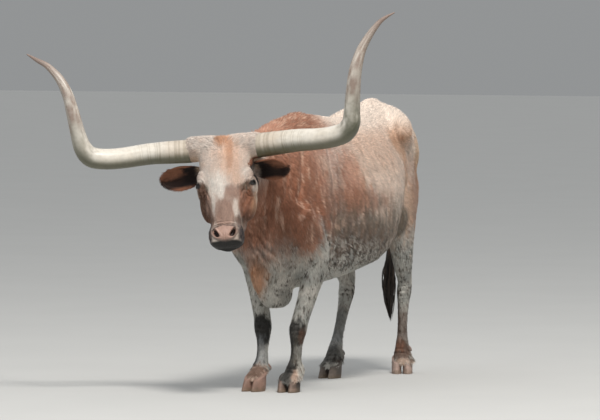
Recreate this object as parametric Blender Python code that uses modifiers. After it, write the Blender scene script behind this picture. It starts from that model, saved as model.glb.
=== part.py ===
"""Life-size still model of a lean, long-horned ox of the Texas Longhorn breed, standing in mid step.

The animal faces -Y, its left side is +X, and its soles stand on the floor at Z = 0. All sizes are in metres.
The flesh is built as overlapping lofts and rounded masses, fused by a voxel remesh, and then parted with thin
cuts into head, neck, torso and limb lengths. Horns, ears, eyes, claws and tail are bodies of their own.
"""

import math
import random

import bmesh
import bpy
from mathutils import Matrix, Vector

COLLECTION_NAME = "texas_longhorn"
GAP = 0.0003
SIDES = {"left": 1.0, "right": -1.0}

# Heights and widths of the trunk
WITHERS_Z = 1.335
BACK_Z = 1.305
CROUP_Z = 1.395
BELLY_Z = 0.545
BARREL_HALF = 0.29
SHOULDER_HALF = 0.215
HOOK_HALF = 0.235

# Mesh sizes
BODY_VOXEL = 0.009
HEAD_VOXEL = 0.0055
BODY_SMOOTHING = 22
HEAD_SMOOTHING = 10
BODY_TRIANGLES = 4700
HEAD_TRIANGLES = 2500

# Head pose: the poll's place, the turn of the horns' line to the animal's left, the tilt, the face's lean from
# upright, and how much further the face is turned, about an axis that lies behind the poll
POLL = Vector((-0.078, -1.066, 1.252))
HEAD_YAW = math.radians(13.0)
HEAD_ROLL = math.radians(4.4)
FACE_LEAN = math.radians(25.0)
FACE_TURN = math.radians(5.0)
FACE_PIVOT = 0.100

# Horns: centre line as (outward, up, forward, radius), from the skull's middle at horn level
HORN_LEVEL = (0.0, -0.06, 0.045)
HORN_PATHS = {
    "left": (
        (0.095, 0.000, 0.000, 0.0590),
        (0.190, 0.000, 0.006, 0.0580),
        (0.355, 0.010, 0.040, 0.0540),
        (0.472, 0.010, 0.073, 0.0510),
        (0.555, 0.017, 0.100, 0.0500),
        (0.614, 0.034, 0.122, 0.0490),
        (0.651, 0.075, 0.144, 0.0440),
        (0.663, 0.135, 0.157, 0.0380),
        (0.679, 0.226, 0.173, 0.0345),
        (0.702, 0.332, 0.182, 0.0300),
        (0.744, 0.435, 0.172, 0.0215),
        (0.823, 0.536, 0.154, 0.0120),
        (0.897, 0.578, 0.137, 0.0030),
    ),
    "right": (
        (0.095, 0.000, 0.000, 0.0590),
        (0.189, -0.005, 0.006, 0.0560),
        (0.348, -0.004, 0.038, 0.0515),
        (0.487, -0.014, 0.078, 0.0495),
        (0.569, -0.012, 0.105, 0.0495),
        (0.627, 0.004, 0.128, 0.0490),
        (0.657, 0.048, 0.150, 0.0430),
        (0.672, 0.120, 0.166, 0.0365),
        (0.685, 0.215, 0.180, 0.0315),
        (0.703, 0.305, 0.182, 0.0270),
        (0.738, 0.382, 0.174, 0.0215),
        (0.795, 0.448, 0.160, 0.0150),
        (0.850, 0.482, 0.148, 0.0100),
        (0.900, 0.514, 0.136, 0.0030),
    ),
}
HORN_STEPS = 2
HORN_SIDES = 12
HORN_SPLIT = 10
HORN_ROOT = 0.176

# Eyes in head coordinates (outward, out of the face, down the face)
EYE_PLACE = (0.120, -0.050, 0.243)
EYE_RADIUS = 0.021
LID_HALF_LENGTH = 0.0185
LID_HALF_HEIGHT = 0.0105
LID_THICKNESS = 0.0045
LID_STEPS = 16

# Ears
EAR_ROOT = (0.108, -0.135, 0.140)
EAR_LENGTH = 0.212
EAR_HALF_WIDTH = 0.056
EAR_WIDEST = 0.58
EAR_CUP = 0.034
# How far each ear turns ahead and up from straight out, and how far its opening turns down
EAR_AIM = {"left": (0.38, 0.03, 0.60), "right": (0.14, -0.10, 0.22)}
EAR_WALL = 0.007

# Claws
CLAW_HEIGHT = 0.11
CLAW_HALF_LENGTH = 0.054
CLAW_HALF_WIDTH = 0.0245
CLEFT = 0.007
# Slices of a claw from the sole up: (height, size, how far back the middle lies)
CLAW_RINGS = (
    (0.000, 0.96, 0.000),
    (0.006, 1.00, 0.002),
    (0.030, 0.93, 0.010),
    (0.060, 0.86, 0.019),
    (CLAW_HEIGHT, 0.74, 0.034),
)
CORONET_SLOPE = math.radians(24.0)
DEWCLAW_RADIUS = 0.014
DEWCLAW_REACH = 0.053

# Tail
TAIL_SIDES = 12

COLOURS = {
    "coat_roan": ((0.46, 0.27, 0.19, 1.0), 0.85),
    "coat_cream": ((0.74, 0.66, 0.57, 1.0), 0.85),
    "coat_speckled": ((0.56, 0.53, 0.50, 1.0), 0.85),
    "ear_hair": ((0.24, 0.11, 0.08, 1.0), 0.85),
    "switch_hair": ((0.045, 0.032, 0.028, 1.0), 0.80),
    "horn": ((0.76, 0.71, 0.60, 1.0), 0.42),
    "hoof": ((0.55, 0.46, 0.40, 1.0), 0.55),
    "eye": ((0.012, 0.009, 0.008, 1.0), 0.08),
}


def clear_scene():
    """Remove every object that the startup scene holds."""
    for obj in list(bpy.data.objects):
        bpy.data.objects.remove(obj, do_unlink=True)


def new_collection(name):
    """Add a collection to the scene."""
    collection = bpy.data.collections.new(name)
    bpy.context.scene.collection.children.link(collection)
    return collection


def new_material(name):
    """Make the Principled material that the named finish describes."""
    colour, roughness = COLOURS[name]
    material = bpy.data.materials.new(name)
    material.use_nodes = True
    shader = material.node_tree.nodes["Principled BSDF"]
    shader.inputs["Base Color"].default_value = colour
    shader.inputs["Roughness"].default_value = roughness
    shader.inputs["Metallic"].default_value = 0.0
    material.diffuse_color = colour
    return material


def object_from_bmesh(name, bm):
    """Turn a bmesh into a linked object with its faces pointing out."""
    bmesh.ops.recalc_face_normals(bm, faces=bm.faces)
    mesh = bpy.data.meshes.new(name)
    bm.to_mesh(mesh)
    bm.free()
    obj = bpy.data.objects.new(name, mesh)
    bpy.context.scene.collection.objects.link(obj)
    return obj


def smooth_run(stations, steps):
    """Carry a Catmull-Rom curve through stations, each a tuple of numbers, with `steps` spans between them."""
    count = len(stations)
    width = len(stations[0])
    run = []
    for i in range(count - 1):
        a = stations[max(i - 1, 0)]
        b = stations[i]
        c = stations[i + 1]
        d = stations[min(i + 2, count - 1)]
        for step in range(steps):
            t = step / steps
            run.append(
                tuple(
                    0.5
                    * (
                        2 * b[k]
                        + (c[k] - a[k]) * t
                        + (2 * a[k] - 5 * b[k] + 4 * c[k] - d[k]) * t**2
                        + (3 * b[k] - a[k] - 3 * c[k] + d[k]) * t**3
                    )
                    for k in range(width)
                )
            )
    run.append(tuple(stations[-1]))
    return run


def loft(name, rings):
    """Skin a closed body over rings of points, capped at both ends."""
    bm = bmesh.new()
    loops = [[bm.verts.new(point) for point in ring] for ring in rings]
    count = len(rings[0])
    for low, high in zip(loops, loops[1:]):
        for i in range(count):
            j = (i + 1) % count
            bm.faces.new((low[i], low[j], high[j], high[i]))
    bm.faces.new(list(reversed(loops[0])))
    bm.faces.new(loops[-1])
    return object_from_bmesh(name, bm)


def run_directions(points):
    """Give the unit direction of travel at each point of a run."""
    last = len(points) - 1
    return [(points[min(i + 1, last)] - points[max(i - 1, 0)]).normalized() for i in range(last + 1)]


def tube_rings(stations, side_axis, sides):
    """Rings round a run of (x, y, z, half side, half depth) stations, square to the run."""
    points = [Vector(station[:3]) for station in stations]
    rings = []
    for station, point, ahead in zip(stations, points, run_directions(points)):
        side = (Vector(side_axis) - ahead * ahead.dot(Vector(side_axis))).normalized()
        depth = ahead.cross(side)
        ring = []
        for i in range(sides):
            angle = math.tau * i / sides
            ring.append(point + side * station[3] * math.cos(angle) + depth * station[4] * math.sin(angle))
        rings.append(ring)
    return rings


def limb(name, stations, steps=3, side_axis=(1.0, 0.0, 0.0), sides=18):
    """A fleshy length: an oval tube through its stations."""
    return loft(name, tube_rings(smooth_run(stations, steps), side_axis, sides))


def mass(name, centre, radii, turn=(0.0, 0.0, 0.0)):
    """A rounded muscle or bone mass: a sphere scaled by its radii, then turned by degrees about X, Y and Z."""
    bm = bmesh.new()
    bmesh.ops.create_uvsphere(bm, u_segments=16, v_segments=10, radius=1.0)
    spin = Matrix.Identity(4)
    for degrees, axis in zip(turn, "XYZ"):
        spin = Matrix.Rotation(math.radians(degrees), 4, axis) @ spin
    place = Matrix.Translation(centre) @ spin @ Matrix.Diagonal((*radii, 1.0))
    bmesh.ops.transform(bm, matrix=place, verts=bm.verts)
    return object_from_bmesh(name, bm)


def power(value, exponent):
    """Raise a signed value to a power and keep its sign."""
    return math.copysign(abs(value) ** exponent, value)


def fuse(name, pieces, voxel, smoothing, triangles):
    """Join pieces into one skin by a voxel remesh, relax it, and thin it to about `triangles` faces."""
    bm = bmesh.new()
    for piece in pieces:
        bm.from_mesh(piece.data)
        bpy.data.objects.remove(piece, do_unlink=True)
    obj = object_from_bmesh(name, bm)
    remesh = obj.modifiers.new("remesh", "REMESH")
    remesh.mode = "VOXEL"
    remesh.voxel_size = voxel
    relax = obj.modifiers.new("relax", "SMOOTH")
    relax.factor = 0.5
    relax.iterations = smoothing
    apply_modifiers(obj)
    obj.data.calc_loop_triangles()
    thin = obj.modifiers.new("thin", "DECIMATE")
    thin.ratio = min(1.0, triangles / len(obj.data.loop_triangles))
    apply_modifiers(obj)
    keep_largest(obj)
    return obj


def apply_modifiers(obj):
    """Replace an object's mesh with its evaluated shape and drop the modifiers."""
    bpy.context.view_layer.update()
    graph = bpy.context.evaluated_depsgraph_get()
    mesh = bpy.data.meshes.new_from_object(obj.evaluated_get(graph))
    old = obj.data
    obj.modifiers.clear()
    obj.data = mesh
    bpy.data.meshes.remove(old)


def islands(bm):
    """Group a bmesh's faces into connected surfaces."""
    bm.faces.ensure_lookup_table()
    seen = set()
    found = []
    for face in bm.faces:
        if face.index in seen:
            continue
        seen.add(face.index)
        group = [face]
        for member in group:
            for edge in member.edges:
                for other in edge.link_faces:
                    if other.index not in seen:
                        seen.add(other.index)
                        group.append(other)
        found.append(group)
    return found


def keep_largest(obj):
    """Keep only the largest closed surface of an object."""
    bm = bmesh.new()
    bm.from_mesh(obj.data)
    groups = islands(bm)
    biggest = max(groups, key=lambda group: sum(face.calc_area() for face in group))
    for group in groups:
        if group is not biggest:
            bmesh.ops.delete(bm, geom=group, context="FACES")
    bm.to_mesh(obj.data)
    bm.free()


def boolean(obj, other, operation, solver="EXACT"):
    """Apply one Boolean with another object and keep the largest body."""
    modifier = obj.modifiers.new(operation.lower(), "BOOLEAN")
    modifier.operation = operation
    modifier.solver = solver
    modifier.object = other
    apply_modifiers(obj)
    keep_largest(obj)


def remove(obj):
    """Delete a helper object."""
    bpy.data.objects.remove(obj, do_unlink=True)


def copy_of(obj, name):
    """Copy an object with its own mesh."""
    duplicate = obj.copy()
    duplicate.data = obj.data.copy()
    duplicate.name = name
    bpy.context.scene.collection.objects.link(duplicate)
    return duplicate


def swollen(obj, distance):
    """A copy of an object with its surface moved out by a distance."""
    duplicate = copy_of(obj, obj.name + "_swollen")
    displace = duplicate.modifiers.new("swell", "DISPLACE")
    displace.strength = distance
    displace.mid_level = 0.0
    apply_modifiers(duplicate)
    return duplicate


def trim_to(obj, neighbour, gap=GAP):
    """Cut an object back so that it meets its neighbour face to face, with the gap between them."""
    cutter = swollen(neighbour, gap)
    boolean(obj, cutter, "DIFFERENCE")
    remove(cutter)


def half_of(obj, name, point, normal):
    """The part of an object that lies ahead of a plane, with the cut closed."""
    piece = copy_of(obj, name)
    bm = bmesh.new()
    bm.from_mesh(piece.data)
    geometry = bm.verts[:] + bm.edges[:] + bm.faces[:]
    bmesh.ops.bisect_plane(bm, geom=geometry, plane_co=point, plane_no=normal, clear_inner=True)
    rim = [edge for edge in bm.edges if edge.is_boundary]
    bmesh.ops.holes_fill(bm, edges=rim, sides=0)
    bmesh.ops.triangulate(bm, faces=[face for face in bm.faces if len(face.verts) > 4])
    bm.to_mesh(piece.data)
    bm.free()
    keep_largest(piece)
    return piece


def part_at(obj, point, normal, ahead_name, behind_name):
    """Part an object at a plane into two bodies with a thin gap between them."""
    point = Vector(point)
    normal = Vector(normal).normalized()
    ahead = half_of(obj, ahead_name, point + normal * GAP / 2, normal)
    behind = half_of(obj, behind_name, point - normal * GAP / 2, -normal)
    remove(obj)
    return ahead, behind


def box(name, low, high):
    """A block between two corners."""
    bm = bmesh.new()
    bmesh.ops.create_cube(bm, size=1.0)
    low = Vector(low)
    high = Vector(high)
    size = high - low
    place = Matrix.Translation((low + high) / 2) @ Matrix.Diagonal((*size, 1.0))
    bmesh.ops.transform(bm, matrix=place, verts=bm.verts)
    return object_from_bmesh(name, bm)


def carve_out(body, name, low, high, tilt):
    """Take out of the body what lies in a tilted block, as a body of its own with a thin gap round it."""
    centre = (Vector(low) + Vector(high)) / 2
    turn = Matrix.Translation(centre) @ Matrix.Rotation(tilt, 4, "Y") @ Matrix.Translation(-centre)
    inner = box(name + "_region", low, high)
    spare = Vector((GAP, GAP, GAP))
    outer = box(name + "_clearance", Vector(low) - spare, Vector(high) + spare)
    inner.data.transform(turn)
    outer.data.transform(turn)
    piece = copy_of(body, name)
    boolean(piece, inner, "INTERSECT")
    boolean(body, outer, "DIFFERENCE")
    remove(inner)
    remove(outer)
    return piece


# The trunk: (y, ridge z, keel z, half width, widest z, how straight the roof runs from ridge to widest)
TRUNK_SECTIONS = (
    (-0.86, 1.215, 0.640, 0.100, 0.93, 1.00),
    (-0.78, 1.255, 0.560, 0.145, 0.92, 1.00),
    (-0.66, 1.290, 0.500, SHOULDER_HALF - 0.030, 0.88, 1.05),
    (-0.52, 1.318, 0.490, SHOULDER_HALF - 0.005, 0.86, 1.15),
    (-0.36, WITHERS_Z, 0.490, SHOULDER_HALF + 0.010, 0.85, 1.20),
    (-0.20, 1.325, 0.500, BARREL_HALF - 0.035, 0.86, 1.10),
    (-0.04, 1.310, 0.520, BARREL_HALF - 0.008, 0.86, 1.02),
    (0.10, BACK_Z, BELLY_Z - 0.005, BARREL_HALF, 0.87, 1.00),
    (0.24, 1.315, 0.580, BARREL_HALF - 0.012, 0.90, 1.08),
    (0.36, 1.345, 0.640, BARREL_HALF - 0.050, 0.96, 1.18),
    (0.46, CROUP_Z - 0.008, 0.700, HOOK_HALF - 0.028, 1.06, 1.22),
    (0.56, 1.370, 0.740, HOOK_HALF - 0.050, 1.06, 1.20),
    (0.65, 1.315, 0.780, 0.158, 1.05, 1.12),
    (0.725, 1.255, 0.830, 0.118, 1.04, 1.02),
    (0.775, 1.190, 0.900, 0.065, 1.03, 1.00),
)
TRUNK_SIDES = 36

# Hip bone: a bar from the sacrum out to the hook, and a ridge from the hook back to the pin
HIP_BAR = (
    (0.020, 0.490, 1.325, 0.060, 0.040),
    (0.100, 0.475, 1.302, 0.060, 0.038),
    (0.165, 0.452, 1.268, 0.056, 0.038),
    (0.204, 0.436, 1.236, 0.046, 0.038),
    (0.215, 0.432, 1.195, 0.032, 0.034),
)
HIP_RIDGE = (
    (0.196, 0.440, 1.225, 0.036, 0.040),
    (0.164, 0.540, 1.175, 0.042, 0.056),
    (0.130, 0.650, 1.140, 0.040, 0.056),
    (0.100, 0.735, 1.118, 0.036, 0.046),
    (0.090, 0.768, 1.100, 0.022, 0.028),
)

# The neck: (x, y, z, half width, half height), from inside the chest to inside the skull
NECK_STATIONS = (
    (0.000, -0.560, 0.990, 0.165, 0.290),
    (-0.005, -0.680, 1.010, 0.140, 0.262),
    (-0.018, -0.790, 1.035, 0.118, 0.225),
    (-0.036, -0.880, 1.060, 0.105, 0.188),
    (-0.048, -0.960, 1.085, 0.098, 0.150),
    (-0.050, -1.020, 1.110, 0.088, 0.115),
)

# The loose fold from throat to brisket: (z, front y, back y, half width, x of the front edge)
DEWLAP_SLICES = (
    (0.960, -1.010, -0.780, 0.050, -0.050),
    (0.870, -0.990, -0.720, 0.042, -0.048),
    (0.780, -0.955, -0.660, 0.040, -0.044),
    (0.690, -0.912, -0.600, 0.044, -0.038),
    (0.610, -0.870, -0.540, 0.055, -0.030),
    (0.530, -0.830, -0.500, 0.062, -0.022),
    (0.460, -0.790, -0.480, 0.058, -0.015),
    (0.415, -0.740, -0.510, 0.042, -0.008),
    (0.398, -0.690, -0.560, 0.022, 0.000),
)

# Leg joints: each list runs from inside the body to the coronet, as (x, y, z, half side, half depth)
FORE_LEFT = (
    (0.150, -0.735, 0.860, 0.070, 0.095),
    (0.182, -0.640, 0.745, 0.066, 0.105),
    (0.190, -0.575, 0.640, 0.058, 0.088),
    (0.175, -0.592, 0.540, 0.050, 0.067),
    (0.155, -0.622, 0.430, 0.044, 0.053),
    (0.138, -0.648, 0.345, 0.043, 0.045),
    (0.131, -0.658, 0.300, 0.046, 0.046),
    (0.124, -0.654, 0.250, 0.036, 0.037),
    (0.118, -0.648, 0.195, 0.028, 0.033),
    (0.113, -0.645, 0.150, 0.031, 0.035),
    (0.109, -0.650, 0.118, 0.040, 0.042),
    (0.105, -0.668, 0.082, 0.039, 0.035),
    (0.102, -0.685, 0.050, 0.047, 0.043),
    (0.101, -0.693, 0.030, 0.047, 0.043),
)
FORE_RIGHT = (
    (-0.150, -0.720, 0.860, 0.070, 0.095),
    (-0.180, -0.620, 0.745, 0.066, 0.105),
    (-0.180, -0.520, 0.640, 0.058, 0.088),
    (-0.155, -0.525, 0.540, 0.050, 0.067),
    (-0.128, -0.545, 0.430, 0.044, 0.053),
    (-0.105, -0.562, 0.345, 0.043, 0.045),
    (-0.098, -0.570, 0.300, 0.046, 0.046),
    (-0.094, -0.576, 0.250, 0.036, 0.037),
    (-0.091, -0.588, 0.195, 0.028, 0.033),
    (-0.088, -0.600, 0.150, 0.031, 0.035),
    (-0.086, -0.614, 0.118, 0.040, 0.042),
    (-0.083, -0.648, 0.082, 0.039, 0.035),
    (-0.080, -0.682, 0.050, 0.047, 0.043),
    (-0.080, -0.698, 0.030, 0.047, 0.043),
)
HIND_LEFT = (
    (0.125, 0.530, 1.060, 0.082, 0.135),
    (0.142, 0.528, 0.900, 0.076, 0.133),
    (0.153, 0.512, 0.760, 0.063, 0.114),
    (0.150, 0.532, 0.640, 0.052, 0.085),
    (0.142, 0.572, 0.540, 0.040, 0.062),
    (0.134, 0.608, 0.470, 0.034, 0.048),
    (0.128, 0.615, 0.420, 0.038, 0.048),
    (0.121, 0.622, 0.360, 0.032, 0.036),
    (0.112, 0.634, 0.280, 0.027, 0.031),
    (0.104, 0.646, 0.190, 0.028, 0.033),
    (0.101, 0.652, 0.130, 0.039, 0.041),
    (0.110, 0.640, 0.090, 0.039, 0.035),
    (0.117, 0.628, 0.055, 0.046, 0.043),
    (0.119, 0.622, 0.032, 0.046, 0.043),
)
HIND_RIGHT = (
    (-0.125, 0.530, 1.060, 0.082, 0.135),
    (-0.150, 0.490, 0.900, 0.080, 0.140),
    (-0.165, 0.430, 0.760, 0.068, 0.125),
    (-0.160, 0.415, 0.640, 0.054, 0.092),
    (-0.145, 0.450, 0.540, 0.042, 0.066),
    (-0.125, 0.470, 0.475, 0.036, 0.052),
    (-0.118, 0.455, 0.425, 0.041, 0.052),
    (-0.112, 0.415, 0.360, 0.034, 0.038),
    (-0.106, 0.362, 0.280, 0.028, 0.032),
    (-0.100, 0.305, 0.190, 0.029, 0.034),
    (-0.096, 0.268, 0.130, 0.040, 0.042),
    (-0.093, 0.238, 0.090, 0.039, 0.035),
    (-0.091, 0.212, 0.055, 0.046, 0.042),
    (-0.090, 0.200, 0.032, 0.046, 0.042),
)
LEGS = {
    "leg_front_left": FORE_LEFT,
    "leg_front_right": FORE_RIGHT,
    "leg_hind_left": HIND_LEFT,
    "leg_hind_right": HIND_RIGHT,
}
# Centre of each pair of claws on the floor, and the way the toes point, in degrees from straight ahead
HOOF_PLACES = {
    "leg_front_left": (0.100, -0.705, 6.0),
    "leg_front_right": (-0.080, -0.722, -6.0),
    "leg_hind_left": (0.121, 0.606, 24.0),
    "leg_hind_right": (-0.090, 0.182, -4.0),
}
# Blocks that part the upper limb from the trunk: low corner, high corner, tilt in degrees
LIMB_BLOCKS = {
    "leg_front_left": ((0.043, -0.86, -0.10), (0.40, -0.44, 0.600), 15.0),
    "leg_front_right": ((-0.40, -0.80, -0.10), (-0.0245, -0.40, 0.600), -20.0),
    "leg_hind_left": ((0.025, 0.38, -0.10), (0.40, 0.86, 0.600), 0.0),
    "leg_hind_right": ((-0.40, 0.02, -0.10), (-0.025, 0.70, 0.520), 0.0),
}
MIDDLE_JOINTS = {
    "leg_front_left": ((0.131, -0.658, 0.300), (0.05, 0.05, 1.0)),
    "leg_front_right": ((-0.098, -0.570, 0.300), (-0.03, 0.05, 1.0)),
    "leg_hind_left": ((0.130, 0.618, 0.400), (0.05, -0.10, 1.0)),
    "leg_hind_right": ((-0.116, 0.445, 0.400), (-0.03, 0.35, 1.0)),
}
CORONET_Z = 0.064
# Where the neck is parted from the torso and from the head
NECK_CUT_POINT = Vector((0.0, -0.50, 1.32))
NECK_CUT_NORMAL = Vector((0.0, -0.845, 0.534)).normalized()
HEAD_CUT_POINT = Vector((0.0, -0.835, 1.27))
HEAD_CUT_NORMAL = Vector((0.0, -0.977, 0.214)).normalized()


def trunk_ring(section):
    """One cross-section of the trunk: a roof above its widest level and a round keel below it."""
    y, ridge, keel, half, widest, roof = section
    ring = []
    for i in range(TRUNK_SIDES):
        angle = math.tau * i / TRUNK_SIDES
        rise = math.sin(angle)
        reach = (ridge - widest) if rise > 0 else (widest - keel)
        bow = roof if rise > 0 else 0.92
        ring.append(Vector((half * power(math.cos(angle), bow), y, widest + reach * power(rise, bow))))
    return ring


def dewlap_ring(piece):
    """One level slice of the dewlap: a long oval, thin at its front edge."""
    z, front, back, half, front_x = piece
    ring = []
    for i in range(20):
        angle = math.tau * i / 20
        along = (1 + math.cos(angle)) / 2
        y = back + (front - back) * along
        ring.append(Vector((front_x * along + half * math.sin(angle) * (1.15 - 0.55 * along), y, z)))
    return ring


def trunk_masses():
    """Shoulder, hip and flank forms that stand out of the trunk on a lean animal."""
    pieces = [
        mass("sacrum", (0.0, 0.490, 1.335), (0.045, 0.110, 0.060)),
        mass("tail_head", (0.0, 0.700, 1.235), (0.046, 0.105, 0.048), (-30, 0, 0)),
        mass("withers", (0.0, -0.380, 1.270), (0.060, 0.190, 0.064)),
        mass("paunch", (0.040, 0.130, 0.800), (0.245, 0.290, 0.245)),
    ]
    for side, sign in SIDES.items():
        pieces += [
            mass("blade_" + side, (sign * 0.138, -0.520, 1.020), (0.052, 0.105, 0.270), (34, sign * -8, 0)),
            mass("shoulder_point_" + side, (sign * 0.128, -0.735, 0.850), (0.062, 0.090, 0.110)),
            mass("triceps_" + side, (sign * 0.172, -0.510, 0.790), (0.056, 0.120, 0.150), (20, 0, 0)),
            mass("rump_" + side, (sign * 0.112, 0.570, 1.120), (0.094, 0.160, 0.165)),
            mass("thigh_" + side, (sign * 0.128, 0.585, 0.900), (0.072, 0.132, 0.200), (-8, 0, 0)),
            mass("flank_" + side, (sign * 0.175, 0.340, 0.800), (0.065, 0.140, 0.110)),
            limb("hip_bar_" + side, mirrored(HIP_BAR, sign), sides=12),
            limb("hip_ridge_" + side, mirrored(HIP_RIDGE, sign), sides=12),
        ]
    return pieces


def mirrored(stations, sign):
    """The same stations on one side of the body or the other."""
    return [(sign * station[0], *station[1:]) for station in stations]


def hock_mass(name, joint, lean):
    """The heel bone that stands out behind the hock, with the cord above it."""
    x, y, z = joint
    return limb(
        name,
        (
            (x, y + 0.030, z + 0.140, 0.016, 0.020),
            (x, y + 0.052 + lean, z + 0.070, 0.018, 0.020),
            (x, y + 0.050 + lean, z + 0.022, 0.022, 0.024),
            (x, y + 0.020, z - 0.050, 0.022, 0.024),
        ),
        steps=2,
        sides=12,
    )


def body_pieces():
    """All masses of trunk, neck, dewlap and limbs."""
    pieces = [
        loft("trunk", [trunk_ring(section) for section in smooth_run(TRUNK_SECTIONS, 2)]),
        limb("neck_core", NECK_STATIONS),
        loft("dewlap", [dewlap_ring(piece) for piece in smooth_run(DEWLAP_SLICES, 2)]),
        hock_mass("heel_left", (0.130, 0.610, 0.450), 0.0),
        hock_mass("heel_right", (-0.120, 0.465, 0.455), 0.006),
    ]
    pieces += trunk_masses()
    pieces += [limb(name + "_core", stations) for name, stations in LEGS.items()]
    return pieces


def head_axes(yaw):
    """Directions of a head turned by `yaw`: to its left, out of the face, down the face, plus up and ahead."""
    level_side = Vector((math.cos(yaw), math.sin(yaw), 0.0))
    ahead = Vector((math.sin(yaw), -math.cos(yaw), 0.0))
    side = level_side * math.cos(HEAD_ROLL) + Vector((0.0, 0.0, 1.0)) * math.sin(HEAD_ROLL)
    up = Vector((0.0, 0.0, 1.0)) * math.cos(HEAD_ROLL) - level_side * math.sin(HEAD_ROLL)
    down_face = ahead * math.sin(FACE_LEAN) - up * math.cos(FACE_LEAN)
    out_of_face = ahead * math.cos(FACE_LEAN) + up * math.sin(FACE_LEAN)
    return side, out_of_face, down_face, up, ahead


HORN_SIDE, HORN_OUT, HORN_DOWN, HORN_UP, HORN_AHEAD = head_axes(HEAD_YAW)
SIDE, OUT, DOWN, UP, AHEAD = head_axes(HEAD_YAW + FACE_TURN)
FACE_TOP = POLL + (OUT - HORN_OUT) * FACE_PIVOT


def on_head(outward, out, down):
    """A point given in the face's coordinates, in the animal's frame."""
    return FACE_TOP + SIDE * outward + OUT * out + DOWN * down


def on_crown(outward, out, down):
    """A point given from the poll along the horns' own directions, in the animal's frame."""
    return POLL + HORN_SIDE * outward + HORN_OUT * out + HORN_DOWN * down


def head_mass(name, place, radii, turn=(0.0, 0.0, 0.0)):
    """A rounded mass set in head coordinates."""
    piece = mass(name, (0.0, 0.0, 0.0), radii, turn)
    axes = Matrix((SIDE, OUT, DOWN)).transposed().to_4x4()
    piece.data.transform(Matrix.Translation(on_head(*place)) @ axes)
    return piece


# The skull and jaw: (down the face, half width, face surface, throat surface, squareness of the front corners)
HEAD_SECTIONS = (
    (-0.004, 0.072, -0.035, -0.095, 0.90),
    (0.014, 0.112, -0.012, -0.130, 0.75),
    (0.060, 0.130, 0.002, -0.165, 0.66),
    (0.120, 0.128, 0.010, -0.190, 0.66),
    (0.180, 0.124, 0.014, -0.210, 0.68),
    (0.230, 0.122, 0.014, -0.222, 0.70),
    (0.280, 0.112, 0.010, -0.220, 0.72),
    (0.325, 0.098, 0.006, -0.200, 0.74),
    (0.370, 0.083, 0.002, -0.168, 0.78),
    (0.415, 0.073, 0.000, -0.142, 0.80),
    (0.455, 0.076, 0.000, -0.132, 0.80),
    (0.492, 0.086, -0.004, -0.128, 0.78),
    (0.524, 0.085, -0.014, -0.124, 0.78),
    (0.548, 0.072, -0.030, -0.114, 0.82),
    (0.560, 0.046, -0.046, -0.098, 0.90),
)


def head_ring(section):
    """One slice across the face: square towards the front, rounder and narrower towards the throat."""
    down, half, front, back, square = section
    middle = front - 0.42 * (front - back)
    ring = []
    for i in range(28):
        angle = math.tau * i / 28
        rise = math.sin(angle)
        reach = (front - middle) if rise > 0 else (middle - back)
        bow = square if rise > 0 else 1.0
        narrow = 1.0 if rise > 0 else 1.0 - 0.22 * rise * rise
        ring.append(on_head(half * narrow * power(math.cos(angle), bow), middle + reach * power(rise, bow), down))
    return ring


def head_pieces():
    """All masses of the head, with the neck that it grows from."""
    pieces = [
        loft("skull", [head_ring(section) for section in smooth_run(HEAD_SECTIONS, 2)]),
        limb("neck_end", NECK_STATIONS),
        loft("throat_fold", [dewlap_ring(piece) for piece in smooth_run(DEWLAP_SLICES, 2)]),
        head_mass("poll", (0.0, -0.062, 0.026), (0.130, 0.050, 0.032)),
        head_mass("forehead", (0.0, -0.040, 0.130), (0.095, 0.060, 0.105)),
        head_mass("nose_bone", (0.0, -0.022, 0.345), (0.044, 0.034, 0.145)),
        head_mass("nose_pad", (0.0, -0.040, 0.508), (0.060, 0.040, 0.044)),
        head_mass("chin", (0.0, -0.108, 0.518), (0.048, 0.034, 0.045)),
        head_mass("jaw", (0.0, -0.155, 0.385), (0.042, 0.030, 0.130), (-14, 0, 0)),
        head_mass("throat", (0.0, -0.180, 0.220), (0.075, 0.075, 0.110)),
    ]
    for side, sign in SIDES.items():
        pieces += [
            head_mass("temple_" + side, (sign * 0.095, -0.075, 0.135), (0.036, 0.060, 0.080)),
            head_mass("brow_" + side, (sign * 0.108, -0.030, 0.215), (0.034, 0.032, 0.050), (0, 0, sign * 20)),
            head_mass("orbit_" + side, (sign * 0.112, -0.058, 0.250), (0.031, 0.042, 0.048)),
            head_mass("cheek_" + side, (sign * 0.094, -0.128, 0.290), (0.044, 0.078, 0.108)),
            head_mass("jaw_" + side, (sign * 0.056, -0.140, 0.385), (0.034, 0.040, 0.090), (-12, 0, 0)),
            head_mass("cheekbone_" + side, (sign * 0.122, -0.098, 0.235), (0.026, 0.046, 0.062)),
            head_mass("face_crest_" + side, (sign * 0.084, -0.072, 0.325), (0.022, 0.028, 0.075)),
            head_mass("nostril_wing_" + side, (sign * 0.056, -0.030, 0.498), (0.028, 0.030, 0.036)),
            head_mass("upper_lip_" + side, (sign * 0.052, -0.078, 0.510), (0.032, 0.030, 0.040)),
        ]
        pieces.append(horn_boss(side, sign))
    return pieces


def horn_boss(side, sign):
    """The haired knob of skull that carries a horn."""
    centre = on_crown(*HORN_LEVEL)
    stations = []
    for outward, radius in ((0.03, 0.056), (0.08, 0.060), (0.13, 0.061), (0.176, 0.0610), (0.215, 0.0600)):
        point = centre + HORN_SIDE * sign * outward
        stations.append((*point, radius, radius))
    return limb("boss_" + side, stations, steps=2, side_axis=HORN_UP, sides=20)


def horn_stations(side, sign):
    """Centre line and radius of a horn at every ring."""
    centre = on_crown(*HORN_LEVEL)
    marks = []
    for outward, rise, forward, radius in HORN_PATHS[side]:
        point = centre + HORN_SIDE * sign * outward + HORN_UP * rise + HORN_AHEAD * forward
        marks.append((*point, radius, radius))
    return smooth_run(marks, HORN_STEPS)


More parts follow.
